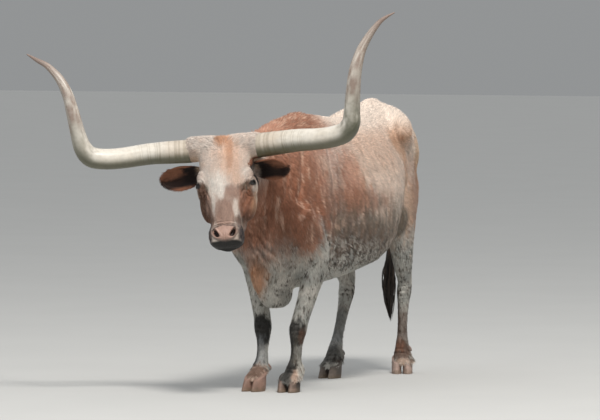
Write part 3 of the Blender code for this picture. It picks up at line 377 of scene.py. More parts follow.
def from_arrays(name: str, points: np.ndarray, faces: np.ndarray) -> bpy.types.Object:
    """Make an object of many like faces.

    Args:
        name: the object's name.
        points: rows of x, y, z.
        faces: rows of point numbers, three or four to a face.

    Returns:
        The linked object.
    """
    mesh = bpy.data.meshes.new(name)
    corners = faces.shape[1]
    mesh.vertices.add(len(points))
    mesh.vertices.foreach_set("co", points.astype(np.float32).ravel())
    mesh.loops.add(faces.size)
    mesh.loops.foreach_set("vertex_index", faces.astype(np.int32).ravel())
    mesh.polygons.add(len(faces))
    mesh.polygons.foreach_set("loop_start", np.arange(0, faces.size, corners, dtype=np.int32))
    mesh.update(calc_edges=True)
    mesh.validate()
    return linked(name, mesh)


def bridge(bm: bmesh.types.BMesh, low: list, high: list) -> None:
    """Join two closed rings of points with four-sided faces."""
    for corners in zip(low, low[1:] + low[:1], high[1:] + high[:1], high):
        bm.faces.new(corners)


def loft(name: str, rings: list[Ring]) -> bpy.types.Object:
    """Skin a closed body over rings of points, capped at both ends."""
    bm = bmesh.new()
    loops = [[bm.verts.new(point) for point in ring] for ring in rings]
    for low, high in zip(loops, loops[1:]):
        bridge(bm, low, high)
    bm.faces.new(list(reversed(loops[0])))
    bm.faces.new(loops[-1])
    return from_bmesh(name, bm)


def limb(
    name: str,
    stations: tuple | list,
    steps: int = 3,
    side_axis: Vector | Station = (1.0, 0.0, 0.0),
    sides: int = 18,
) -> bpy.types.Object:
    """Make a fleshy length: an oval tube through its stations."""
    return loft(name, tube_rings(smooth_run(stations, steps), side_axis, sides))


def mass(name: str, centre: Vector | Station, radii: Station, turn: Station = (0.0, 0.0, 0.0)) -> bpy.types.Object:
    """Make a rounded muscle or bone mass: a sphere scaled by its radii, then turned by degrees about X, Y and Z."""
    bm = bmesh.new()
    bmesh.ops.create_uvsphere(bm, u_segments=16, v_segments=10, radius=1.0)
    spin = Matrix.Identity(4)
    for degrees, axis in zip(turn, "XYZ"):
        spin = Matrix.Rotation(math.radians(degrees), 4, axis) @ spin
    place = Matrix.Translation(centre) @ spin @ Matrix.Diagonal((*radii, 1.0))
    bmesh.ops.transform(bm, matrix=place, verts=bm.verts)
    return from_bmesh(name, bm)


def head_mass(name: str, place: Station, radii: Station, turn: Station = (0.0, 0.0, 0.0)) -> bpy.types.Object:
    """Make a rounded mass set in the face's coordinates."""
    piece = mass(name, (0.0, 0.0, 0.0), radii, turn)
    axes = Matrix((SIDE, OUT, DOWN)).transposed().to_4x4()
    piece.data.transform(Matrix.Translation(on_head(*place)) @ axes)
    return piece


def power(value: float, exponent: float) -> float:
    """Raise a signed value to a power and keep its sign."""
    return math.copysign(abs(value) ** exponent, value)


def mirrored(stations: tuple, sign: float) -> list[Station]:
    """Give the same stations on one side of the body or the other."""
    return [(sign * station[0], *station[1:]) for station in stations]


def select_only(obj: bpy.types.Object) -> None:
    """Make one object the selected and active one."""
    bpy.ops.object.select_all(action="DESELECT")
    obj.select_set(True)
    bpy.context.view_layer.objects.active = obj


def apply_all(obj: bpy.types.Object) -> None:
    """Apply an object's modifiers in their order."""
    select_only(obj)
    for modifier in list(obj.modifiers):
        bpy.ops.object.modifier_apply(modifier=modifier.name)


def join(name: str, pieces: list[bpy.types.Object]) -> bpy.types.Object:
    """Gather pieces into one object, without fusing them."""
    bpy.ops.object.select_all(action="DESELECT")
    for piece in pieces:
        piece.select_set(True)
    bpy.context.view_layer.objects.active = pieces[0]
    bpy.ops.object.join()
    pieces[0].name = name
    return pieces[0]


def fuse(name: str, pieces: list[bpy.types.Object], voxel: float, smoothing: int) -> bpy.types.Object:
    """Make one skin of overlapping pieces by a voxel remesh, and relax it.

    Args:
        name: the skin's name.
        pieces: closed meshes, which are used up.
        voxel: size of the remesh.
        smoothing: how many times the skin is relaxed.

    Returns:
        The fused object.
    """
    whole = join(name, pieces)
    remesh = whole.modifiers.new("remesh", "REMESH")
    remesh.mode = "VOXEL"
    remesh.voxel_size = voxel
    relax = whole.modifiers.new("relax", "SMOOTH")
    relax.factor = 0.5
    relax.iterations = smoothing
    apply_all(whole)
    return whole


def keep_ahead(obj: bpy.types.Object, point: Vector, normal: Vector) -> None:
    """Cut an object at a plane, keep what lies ahead of it, and close the cut."""
    bm = bmesh.new()
    bm.from_mesh(obj.data)
    geometry = bm.verts[:] + bm.edges[:] + bm.faces[:]
    bmesh.ops.bisect_plane(bm, geom=geometry, plane_co=point, plane_no=normal, clear_inner=True)
    close_rims(bm)
    bm.to_mesh(obj.data)
    bm.free()


def close_rims(bm: bmesh.types.BMesh) -> None:
    """Close every open rim with a fan of triangles round its middle."""
    rim = [edge for edge in bm.edges if edge.is_boundary]
    filled = bmesh.ops.holes_fill(bm, edges=rim, sides=0)["faces"]
    bmesh.ops.poke(bm, faces=filled)


def vertex_places(mesh: bpy.types.Mesh) -> np.ndarray:
    """Read a mesh's points as rows of x, y, z."""
    places = np.empty(len(mesh.vertices) * 3, np.float32)
    mesh.vertices.foreach_get("co", places)
    return places.reshape(-1, 3).astype(float)


def vertex_normals(mesh: bpy.types.Mesh) -> np.ndarray:
    """Read a mesh's point normals as rows of x, y, z."""
    normals = np.empty(len(mesh.vertices) * 3, np.float32)
    mesh.vertex_normals.foreach_get("vector", normals)
    return normals.reshape(-1, 3).astype(float)


def place_vertices(mesh: bpy.types.Mesh, places: np.ndarray) -> None:
    """Move a mesh's points to new places."""
    mesh.vertices.foreach_set("co", places.astype(np.float32).ravel())
    mesh.update()


def smooth_step(value: np.ndarray, low: float, high: float) -> np.ndarray:
    """Rise smoothly from 0 at `low` to 1 at `high`, which may lie below it."""
    share = np.clip((value - low) / (high - low), 0.0, 1.0)
    return share * share * (3 - 2 * share)


def cell_values(cells: np.ndarray, seed: int) -> np.ndarray:
    """Give each cell of a lattice its own fixed value from 0 to 1."""
    mixed = cells.astype(np.int64).astype(np.uint32)
    number = mixed[..., 0] * np.uint32(73856093)
    number = number ^ (mixed[..., 1] * np.uint32(19349663))
    number = number ^ (mixed[..., 2] * np.uint32(83492791))
    number = number ^ np.uint32((seed * 2654435761) % 2**32)
    number = (number ^ (number >> np.uint32(15))) * np.uint32(2246822519)
    number = (number ^ (number >> np.uint32(13))) * np.uint32(3266489917)
    return ((number ^ (number >> np.uint32(16))) & np.uint32(65535)).astype(float) / 65535.0


def noise(points: np.ndarray, size: float | Station, seed: int) -> np.ndarray:
    """Smooth random values in space.

    Args:
        points: rows of x, y, z.
        size: the width of a cell, alike or for each direction.
        seed: picks the pattern.

    Returns:
        A value from 0 to 1 for each point.
    """
    scaled = points / np.array(size)
    base = np.floor(scaled)
    share = scaled - base
    share = share * share * (3 - 2 * share)
    total = np.zeros(len(points))
    for i in (0, 1):
        for j in (0, 1):
            for k in (0, 1):
                corner = np.array((i, j, k))
                weight = np.prod(np.where(corner, share, 1 - share), axis=1)
                total += weight * cell_values(base + corner, seed)
    return total


def layered_noise(points: np.ndarray, size: float | Station, seed: int, layers: int = 3) -> np.ndarray:
    """Sum ever finer noise, each layer half as wide and half as strong, into values from 0 to 1."""
    total = np.zeros(len(points))
    strength = 0.0
    for layer in range(layers):
        total += noise(points, np.array(size) / 2**layer, seed + 17 * layer) / 2**layer
        strength += 0.5**layer
    return total / strength


# Bone and muscle in millimetres: (name, centre, radii, turn in degrees about X, Y and Z), in the animal's frame for
# the trunk and in the face's coordinates for the head. The rows of the sides are told for the left.
TRUNK_MASSES = (
    ("sacrum", (0, 490, 1335), (45, 110, 60)),
    ("tail_head", (0, 700, 1235), (46, 105, 48), (-30, 0, 0)),
    ("withers", (0, -380, 1270), (60, 190, 64)),
    ("paunch", (40, 130, 800), (245, 290, 245)),
)
TRUNK_SIDE_MASSES = (
    ("blade_", (138, -520, 1020), (52, 105, 270), (34, -8, 0)),
    ("shoulder_point_", (128, -735, 850), (62, 90, 110)),
    ("triceps_", (172, -510, 790), (56, 120, 150), (20, 0, 0)),
    ("rump_", (112, 570, 1120), (94, 160, 165)),
    ("thigh_", (128, 585, 900), (72, 132, 200), (-8, 0, 0)),
    ("flank_", (175, 340, 800), (65, 140, 110)),
)
HEAD_MASSES = (
    ("poll", (0, -62, 26), (130, 50, 32)),
    ("forehead", (0, -40, 130), (95, 60, 105)),
    ("nose_bone", (0, -22, 345), (44, 34, 145)),
    ("nose_pad", (0, -40, 508), (60, 40, 44)),
    ("chin", (0, -108, 518), (48, 34, 45)),
    ("jaw", (0, -155, 385), (42, 30, 130), (-14, 0, 0)),
    ("throat", (0, -180, 220), (75, 75, 110)),
)
HEAD_SIDE_MASSES = (
    ("temple_", (95, -75, 135), (36, 60, 80)),
    ("brow_", (106, -32, 218), (32, 29, 50), (0, 0, 20)),
    ("orbit_", (112, -58, 250), (31, 42, 48)),
    ("cheek_", (94, -128, 290), (44, 78, 108)),
    ("jaw_", (56, -140, 385), (34, 40, 90), (-12, 0, 0)),
    ("cheekbone_", (122, -98, 235), (26, 46, 62)),
    ("face_crest_", (84, -72, 325), (22, 28, 75)),
    ("nostril_wing_", (56, -30, 498), (28, 30, 36)),
    ("upper_lip_", (52, -78, 510), (32, 30, 40)),
)


def masses(make: Callable[..., bpy.types.Object], rows: tuple, side: str = "") -> list[bpy.types.Object]:
    """Make a table's masses, for the middle or for one side.

    Args:
        make: what makes a mass of a name, a centre, radii and a turn.
        rows: the table.
        side: the side, or nothing for the middle.

    Returns:
        The masses.
    """
    sign = SIDES.get(side, 1.0)
    pieces = []
    for name, centre, radii, *turn in rows:
        (x, y, z), size = metres(centre, radii)
        about_x, about_y, about_z = turn[0] if turn else (0.0, 0.0, 0.0)
        pieces.append(make(name + side, (sign * x, y, z), size, (about_x, sign * about_y, sign * about_z)))
    return pieces


@dataclass
class Flesh:
    """The masses that make up the ox's body and head, before they are fused into one skin."""

    trunk_sides: int = 36
    fold_sides: int = 20
    head_sides: int = 28
    keel_bow: float = 0.92

    def trunk_ring(self, section: Station) -> Ring:
        """Give one cross-section of the trunk: a roof above its widest level and a round keel below it."""
        y, ridge, keel, half, widest, roof = section
        ring = []
        for i in range(self.trunk_sides):
            angle = math.tau * i / self.trunk_sides
            rise = math.sin(angle)
            reach = (ridge - widest) if rise > 0 else (widest - keel)
            bow = roof if rise > 0 else self.keel_bow
            ring.append(Vector((half * power(math.cos(angle), bow), y, widest + reach * power(rise, bow))))
        return ring

    def dewlap_ring(self, piece: Station) -> Ring:
        """Give one level slice of the dewlap: a long oval, thin at its front edge."""
        z, front, back, half, front_x = piece
        ring = []
        for i in range(self.fold_sides):
            angle = math.tau * i / self.fold_sides
            along = (1 + math.cos(angle)) / 2
            y = back + (front - back) * along
            ring.append(Vector((front_x * along + half * math.sin(angle) * (1.15 - 0.55 * along), y, z)))
        return ring

    def dewlap(self, name: str) -> bpy.types.Object:
        """Make the loose fold from throat to brisket."""
        return loft(name, [self.dewlap_ring(piece) for piece in smooth_run(DEWLAP_SLICES, 2)])

    def hock(self, name: str, joint: Station, lean: float) -> bpy.types.Object:
        """Make the heel bone that stands out behind a hock, with the cord above it."""
        x, y, z = joint
        stations = (
            (x, y + 0.030, z + 0.140, 0.016, 0.020),
            (x, y + 0.052 + lean, z + 0.070, 0.018, 0.020),
            (x, y + 0.050 + lean, z + 0.022, 0.022, 0.024),
            (x, y + 0.020, z - 0.050, 0.022, 0.024),
        )
        return limb(name, stations, steps=2, sides=12)

    def trunk_masses(self) -> list[bpy.types.Object]:
        """Make the shoulder, hip and flank forms that stand out of the trunk on a lean animal."""
        pieces = masses(mass, TRUNK_MASSES)
        for side, sign in SIDES.items():
            pieces += [
                *masses(mass, TRUNK_SIDE_MASSES, side),
                limb("hip_bar_" + side, mirrored(HIP_BAR, sign), sides=12),
                limb("hip_ridge_" + side, mirrored(HIP_RIDGE, sign), sides=12),
            ]
        return pieces

    def body_pieces(self) -> list[bpy.types.Object]:
        """Make all masses of trunk, neck, dewlap and limbs."""
        pieces = [
            loft("trunk", [self.trunk_ring(section) for section in smooth_run(TRUNK_SECTIONS, 2)]),
            limb("neck_core", NECK_STATIONS),
            self.dewlap("dewlap"),
            self.hock("heel_left", (0.130, 0.610, 0.450), 0.0),
            self.hock("heel_right", (-0.120, 0.465, 0.455), 0.006),
        ]
        pieces += self.trunk_masses()
        pieces += [limb(name + "_core", stations) for name, stations in LEGS.items()]
        return pieces

    def head_ring(self, section: Station) -> Ring:
        """Give one slice across the face: square towards the front, rounder and narrower towards the throat."""
        down, half, front, back, square = section
        middle = front - 0.42 * (front - back)
        ring = []
        for i in range(self.head_sides):
            angle = math.tau * i / self.head_sides
            rise = math.sin(angle)
            reach = (front - middle) if rise > 0 else (middle - back)
            bow = square if rise > 0 else 1.0
            narrow = 1.0 if rise > 0 else 1.0 - 0.22 * rise * rise
            across = half * narrow * power(math.cos(angle), bow)
            ring.append(on_head(across, middle + reach * power(rise, bow), down))
        return ring

    def boss(self, side: str, sign: float) -> bpy.types.Object:
        """Make the haired knob of skull that carries a horn."""
        centre = on_crown(*HORN_LEVEL)
        stations = []
        for outward, radius in ((0.03, 0.056), (0.08, 0.060), (0.13, 0.061), (0.176, 0.0610), (0.215, 0.0600)):
            stations.append((*(centre + HORN_SIDE * sign * outward), radius, radius))
        return limb("boss_" + side, stations, steps=2, side_axis=HORN_UP, sides=20)

    def head_pieces(self) -> list[bpy.types.Object]:
        """Make all masses of the head, with the neck that it grows from."""
        pieces = [
            loft("skull", [self.head_ring(section) for section in smooth_run(HEAD_SECTIONS, 2)]),
            limb("neck_end", NECK_STATIONS),
            self.dewlap("throat_fold"),
            *masses(head_mass, HEAD_MASSES),
        ]
        for side, sign in SIDES.items():
            pieces += [*masses(head_mass, HEAD_SIDE_MASSES, side), self.boss(side, sign)]
        return pieces


def horn_plane(sign: float) -> tuple[Vector, Vector]:
    """Give the point and normal of the flat joint between skull and horn."""
    return on_crown(*HORN_LEVEL) + HORN_SIDE * sign * HORN_ROOT, HORN_SIDE * sign


def coronet_plane(leg: str) -> tuple[Vector, Vector, Vector]:
    """Give the slanting line where hair ends and the claws begin.

    Args:
        leg: the leg's name.

    Returns:
        A point of the plane, its normal, and the way the toes point.
    """
    x, y, turn = HOOF_PLACES[leg]
    toe = Vector((math.sin(math.radians(turn)), -math.cos(math.radians(turn)), 0.0))
    point = Vector((x, y, CORONET_Z)) - toe * 0.012
    normal = Vector((0.0, 0.0, 1.0)) * math.cos(CORONET_SLOPE) + toe * math.sin(CORONET_SLOPE)
    return point, normal.normalized(), toe


def eye_axes(sign: float) -> tuple[Vector, Vector, Vector]:
    """Give the way an eye looks, the run of its slit towards the muzzle, and the way across the slit."""
    look = (SIDE * sign * 0.79 + OUT * 0.61 + DOWN * 0.05).normalized()
    run = OUT + DOWN * 0.45
    run = (run - look * run.dot(look)).normalized()
    return look, run, look.cross(run) * sign


def eye_place(sign: float) -> Vector:
    """Give the middle of an eyeball."""
    return on_head(sign * EYE_PLACE[0], EYE_PLACE[1], EYE_PLACE[2])


def round_eye(places: np.ndarray, sign: float) -> tuple[np.ndarray, ...]:
    """Tell points from an eye.

    Args:
        places: rows of x, y, z in the animal's frame.
        sign: the eye's side.

    Returns:
        How far each lies along the slit, across it and ahead of the eye's middle, and how many times the opening's
        half size that is.
    """
    look, run, over = (np.array(axis) for axis in eye_axes(sign))
    offset = places - np.array(eye_place(sign))
    u, v, w = offset @ run, offset @ over, offset @ look
    return u, v, w, np.sqrt((u / LID_HALF_LENGTH) ** 2 + (v / LID_HALF_HEIGHT) ** 2)


def eye_skin(places: np.ndarray, sign: float, outer: float, inner: float) -> np.ndarray:
    """Tell how far points lie in the ring of bare skin round an eye, full at inner half sizes and none at outer."""
    apart = np.linalg.norm(places - np.array(eye_place(sign)), axis=1)
    _, _, ahead, ring = round_eye(places, sign)
    return smooth_step(ring, outer, inner) * (ahead > 0.0) * (apart < EYE_REACH)


class Ground(Enum):
    """What a crease's points are told in."""

    FACE = "face coordinates"
    BODY = "the animal's frame"


@dataclass(frozen=True)
class Crease:
    """A fold, groove or, with a negative depth, a vein or ridge that runs over the skin.

    Its points need only lie near the skin, because each is first moved onto it.
    """

    ground: Ground
    points: tuple[Station, ...]
    width: float
    depth: float
    both_sides: bool = True

    def lines(self) -> list[np.ndarray]:
        """Give the crease's lines in the animal's frame, as rows of x, y, z."""
        found = []
        for sign in (1.0, -1.0) if self.both_sides else (1.0,):
            run = smooth_run([(sign * p[0], p[1], p[2]) for p in self.points], 10)
            if self.ground is Ground.FACE:
                run = [tuple(on_head(*place)) for place in run]
            found.append(np.array(run))
        return found


# Folds of the face, in its own coordinates and in millimetres: (width, depth, points)
FACE_FOLDS = (
    # Folds over the upper lid, the corner fold before the eye, and the bags below it
    (3.2, 1.8, (98, -18, 262), (108, -12, 232), (122, -38, 214), (124, -80, 222)),
    (3.6, 1, (92, -8, 240), (104, 0, 212), (120, -30, 196), (122, -76, 200)),
    (3.5, 3, (102, -30, 276), (110, -50, 282), (120, -78, 276), (124, -96, 258)),
    (4.2, 2.6, (96, -34, 292), (106, -58, 300), (116, -90, 292)),
    (5, 3, (94, -20, 280), (88, -12, 300), (80, -10, 325)),
    # The cheek's crest and the edge of the chewing muscle
    (8.5, -3, (88, -62, 330), (80, -66, 370), (74, -72, 405)),
    (8, 3.5, (118, -80, 300), (104, -86, 345), (88, -108, 385), (74, -150, 400)),
    # Veins down the face
    (2.6, -1.6, (88, -20, 290), (74, -26, 340), (66, -40, 390), (70, -60, 430)),
    (2.2, -1.2, (66, -30, 350), (58, -16, 400), (58, -12, 445)),
    # Hollow of the temple, behind the brow
    (18, 6, (112, -50, 150), (118, -74, 185)),
    # Edges of the bare nose, and wrinkles over and beside the nostrils
    (2.6, 1.6, (0, 2, 466), (30, 0, 462), (56, -6, 468), (74, -26, 488)),
    (3.2, 1.4, (0, 4, 452), (30, 2, 449), (56, -6, 454)),
    (3, 2, (64, -12, 478), (78, -40, 500), (80, -66, 520)),
    (3.4, 1.8, (70, -20, 462), (82, -46, 480), (86, -74, 500)),
    (2, 1.6, (0, -4, 500), (0, -20, 535), (0, -50, 552)),
    (2.4, 1, (20, -30, 546), (44, -40, 538), (60, -60, 528)),
    # The dent down the middle of the forehead
    (24, 5, (0, 10, 120), (0, 15, 200), (0, 12, 270)),
)

# Folds of the body in millimetres: behind the elbow, before and behind the shoulder blade, the flank, the thigh
# and rump, the belly's vein and the elbow
BODY_FOLDS = (
    (16, 9, (190, -440, 680), (215, -420, 760), (225, -400, 860)),
    (22, 7, (175, -360, 1200), (205, -395, 1060), (220, -415, 930)),
    (20, 6.5, (150, -650, 1180), (175, -690, 1020), (170, -760, 900)),
    (20, 9, (170, 400, 660), (205, 390, 760), (215, 400, 880)),
    (14, 7, (188, 505, 1130), (196, 500, 1040), (190, 490, 950)),
    (12, 5, (150, 640, 1060), (150, 660, 930), (140, 640, 800)),
    (4, -3, (255, -330, 700), (250, -150, 650), (240, 50, 630)),
    (12, 7, (160, -470, 640), (175, -500, 700), (180, -540, 740)),
)


def creases(ground: Ground, folds: tuple) -> list[Crease]:
    """Make creases of rows of width, depth and points, mirrored unless they run down the middle.

    Args:
        ground: what the points are told in.
        folds: the rows, in millimetres.

    Returns:
        The creases.
    """
    return [
        Crease(ground, metres(*points), width / 1000, depth / 1000, any(point[0] for point in points))
        for width, depth, *points in folds
    ]


def body_creases() -> tuple[Crease, ...]:
    """Work out the folds of neck, brisket and flank, and the sinews of the legs."""
    folds = []

    def fold(points: tuple, width: float, depth: float, both_sides: bool = True) -> None:
        folds.append(Crease(Ground.BODY, points, width, depth, both_sides))

    for i in range(6):
        back = 0.050 * i
        points = (
            (0.060, -0.985 + back, 1.180 + 0.010 * i),
            (0.075, -0.975 + back * 1.05, 1.080),
            (0.060, -0.985 + back * 1.1, 0.960),
            (0.020, -0.975 + back, 0.860 - 0.010 * i),
        )
        fold(points, 0.0070 + 0.0006 * i, 0.0042 - 0.0004 * i)
    for i in range(5):
        drop = 0.062 * i
        points = (
            (0.012, -0.985 + 0.030 * i, 0.900 - drop),
            (0.034, -0.900 + 0.026 * i, 0.860 - drop * 1.05),
            (0.060, -0.820 + 0.022 * i, 0.800 - drop * 1.10),
        )
        fold(points, 0.0085, 0.0044)
    folds += creases(Ground.BODY, BODY_FOLDS)
    for stations in LEGS.values():
        for sign in (1.0, -1.0):
            knee_down = stations[7:11]
            groove = tuple((s[0] + sign * s[3], s[1] + s[4] * 0.35, s[2]) for s in knee_down)
            fold(groove, 0.0055, 0.0040, False)
            vein = tuple((s[0] + sign * s[3], s[1] - s[4] * 0.25, s[2]) for s in stations[4:10])
            fold(vein, 0.0026, -0.0014, False)
        for lift, depth in ((0.028, 0.0026), (0.000, 0.0030), (-0.024, 0.0022)):
            knee = stations[6]
            front = knee[1] - knee[4]
            wrinkle = tuple(
                (knee[0] + knee[3] * s, front + 0.016 * s * s, knee[2] + lift) for s in (-0.8, 0.0, 0.8)
            )
            fold(wrinkle, 0.0045, depth, False)
        fetlock = stations[10]
        for lift in (-0.004, -0.026):
            wrinkle = tuple(
                (fetlock[0] + fetlock[3] * s, fetlock[1] - fetlock[4] * (1 - 0.3 * s * s), fetlock[2] + lift)
                for s in (-0.9, 0.0, 0.9)
            )
            fold(wrinkle, 0.0040, 0.0024, False)
    return tuple(folds)


def from_display(red: float, green: float, blue: float) -> Colour:
    """Turn a display colour, from 0 to 255, into linear light."""
    values = []
    for value in (red, green, blue):
        share = value / 255.0
        values.append(share / 12.92 if share <= 0.04045 else ((share + 0.055) / 1.055) ** 2.4)
    return tuple(values)


class Hair(Enum):
    """Hair and skin colours of the ox, some of which also serve as painted shade."""

    CREAM = from_display(226, 211, 197)
    FACE_PALE = from_display(206, 193, 182)
    # Pale hair of the upper flank, made lighter by painted light from above
    FLANK = from_display(222, 199, 182)
    WHITE = from_display(218, 211, 202)
    PINK_BUFF = from_display(206, 172, 150)
    BUFF = from_display(190, 155, 128)
    LILAC = from_display(176, 158, 150)
    RED_ROAN = from_display(184, 132, 108)
    RED_BROWN = from_display(150, 101, 77)
    DEEP_RED = from_display(138, 88, 64)
    ORANGE = from_display(176, 122, 84)
    TAN = from_display(196, 160, 124)
    UMBER = from_display(88, 62, 48)
    # Dark grey-brown mottling, also used as painted shade on the lower barrel and belly
    MOTTLE = from_display(80, 74, 62)
    GREY = from_display(178, 176, 166)
    BLUE_GREY = from_display(140, 143, 144)
    MAUVE = from_display(150, 122, 108)
    PEACH = from_display(163, 132, 118)
    SLATE = from_display(46, 42, 45)
    PAD_EDGE = from_display(104, 88, 80)
    BLACK = from_display(23, 21, 19)
    # Near-black of the ear's lining, also used as painted shade inside the ears and nostrils
    EAR_DARK = from_display(34, 22, 19)


@dataclass(frozen=True)
class Patch:
    """A soft, ragged patch of one hair colour."""

    place: Station
    reach: Station
    hair: str
    strength: float = 1.0
    softness: float = 0.45
    ragged: float = 0.35
    grain: Station = (0.030, 0.030, 0.060)
    both_sides: bool = True

    def weight(self, points: np.ndarray, seed: int) -> np.ndarray:
        """Give how much of the patch each point takes.

        Args:
            points: rows of coordinates, told as the patch's place is.
            seed: picks the raggedness of the edge.

        Returns:
            Values from 0 to the patch's strength.
        """
        folded = points.copy()
        if self.both_sides:
            folded[:, 0] = np.abs(folded[:, 0])
        distance = np.linalg.norm((folded - np.array(self.place)) / np.array(self.reach), axis=1)
        near = distance < 1.0 + self.softness + self.ragged
        weight = np.zeros(len(points))
        edge = layered_noise(points[near], self.grain, seed) - 0.5
        spread = distance[near] + 2 * self.ragged * edge
        weight[near] = self.strength * smooth_step(spread, 1.0 + self.softness, 1.0 - self.softness)
        return weight


def patches(*rows: tuple) -> tuple[Patch, ...]:
    """Make patches of rows of place, reach, hair, strength, softness, raggedness, grain and whether both sides."""
    return tuple(Patch(*row) for row in rows)


FLECKED = (0.012, 0.012, 0.060)
BODY_PATCHES = patches(
    # The pale upper flank is partly its own pale hair and partly painted light from above
    ((0.20, 0.08, 1.02), (0.20, 0.28, 0.14), "FLANK", 0.80, 0.5, 0.45, FLECKED),
    ((0.22, -0.24, 1.00), (0.18, 0.11, 0.14), "BUFF", 0.60, 0.5, 0.55, FLECKED),
    ((0.18, -0.45, 1.07), (0.07, 0.05, 0.08), "PINK_BUFF", 0.60, 0.5, 0.60, FLECKED),
    ((0.18, 0.10, 1.16), (0.22, 0.34, 0.12), "PINK_BUFF", 0.60, 0.6),
    ((0.17, -0.66, 0.90), (0.18, 0.19, 0.23), "RED_BROWN", 0.85, 0.5, 0.40, FLECKED),
    ((0.20, -0.62, 0.84), (0.14, 0.14, 0.14), "DEEP_RED", 0.60, 0.5, 0.50, FLECKED),
    # The neck under the head: its own red-brown, deepened with painted shadow cast by the head
    ((0.10, -0.82, 0.96), (0.16, 0.17, 0.26), "DEEP_RED", 0.75, 0.6),
    ((0.18, -0.33, 1.02), (0.20, 0.13, 0.30), "LILAC", 0.50, 0.7, 0.80, (0.014, 0.014, 0.070)),
    ((0.20, -0.38, 0.86), (0.16, 0.11, 0.20), "MOTTLE", 0.50, 0.8, 0.90, (0.016, 0.016, 0.060)),
    ((0.05, -0.44, 1.30), (0.16, 0.24, 0.10), "RED_BROWN", 0.75, 0.4, 0.45, FLECKED),
    ((0.22, -0.24, 1.00), (0.14, 0.09, 0.16), "RED_ROAN", 0.70, 0.5, 0.55, FLECKED),
    ((0.25, -0.20, 0.91), (0.20, 0.24, 0.07), "RED_BROWN", 0.75, 0.6, 0.70, (0.016, 0.016, 0.060)),
    # The lower barrel and belly bands below are partly the coat's dark mottling and partly painted shade, darkest
    # underneath
    ((0.25, -0.08, 0.75), (0.22, 0.44, 0.12), "MOTTLE", 0.82, 0.75, 0.85, (0.016, 0.016, 0.050)),
    ((0.20, -0.08, 0.63), (0.20, 0.36, 0.06), "MOTTLE", 0.70, 0.45, 0.90, (0.016, 0.016, 0.024)),
    ((0.22, -0.20, 0.68), (0.20, 0.28, 0.12), "UMBER", 0.55, 0.50, 0.60, (0.012, 0.012, 0.020)),
    ((0.21, 0.40, 1.20), (0.08, 0.085, 0.10), "BUFF", 0.60, 0.45, 0.50, (0.014, 0.014, 0.060)),
    ((0.20, 0.37, 1.19), (0.06, 0.045, 0.06), "ORANGE", 0.45, 0.5, 0.55, FLECKED),
    ((0.22, 0.43, 1.06), (0.08, 0.035, 0.12), "ORANGE", 0.40, 0.5, 0.50, FLECKED),
    ((0.20, 0.515, 1.06), (0.07, 0.030, 0.12), "UMBER", 0.40, 0.5, 0.35),
    ((0.19, 0.60, 1.06), (0.08, 0.045, 0.15), "TAN", 0.75, 0.5, 0.35),
    ((0.20, 0.60, 0.86), (0.12, 0.13, 0.20), "RED_BROWN", 0.70, 0.5, 0.50, FLECKED),
    ((0.21, 0.42, 0.84), (0.12, 0.12, 0.16), "BUFF", 0.60, 0.5, 0.50, FLECKED),
    ((0.23, 0.36, 0.76), (0.12, 0.10, 0.14), "MOTTLE", 0.85, 0.5, 0.45, FLECKED),
    ((0.12, 0.76, 1.02), (0.10, 0.06, 0.22), "BUFF", 0.60, 0.5, 0.40),
    ((0.17, -0.46, 0.68), (0.08, 0.05, 0.10), "UMBER", 0.70, 0.5, 0.45),
)
BELLY_PATCHES = patches(
    ((0.00, -0.10, 0.54), (0.045, 0.50, 0.06), "TAN", 0.70, 0.5, 0.35),
    ((0.00, -0.96, 0.72), (0.06, 0.16, 0.22), "RED_BROWN", 0.60, 0.5, 0.45),
    # The orange strip down the dewlap's front edge is partly the fold's own tan and partly a painted highlight on its
    # lit edge
    ((0.00, -0.84, 0.52), (0.05, 0.07, 0.14), "ORANGE", 0.75, 0.5, 0.35),
    # Umber over the lower neck: partly a dark patch of the coat and partly painted shadow of the head
    ((0.06, -0.72, 0.74), (0.14, 0.20, 0.13), "UMBER", 0.55, 0.6, 0.45),
)
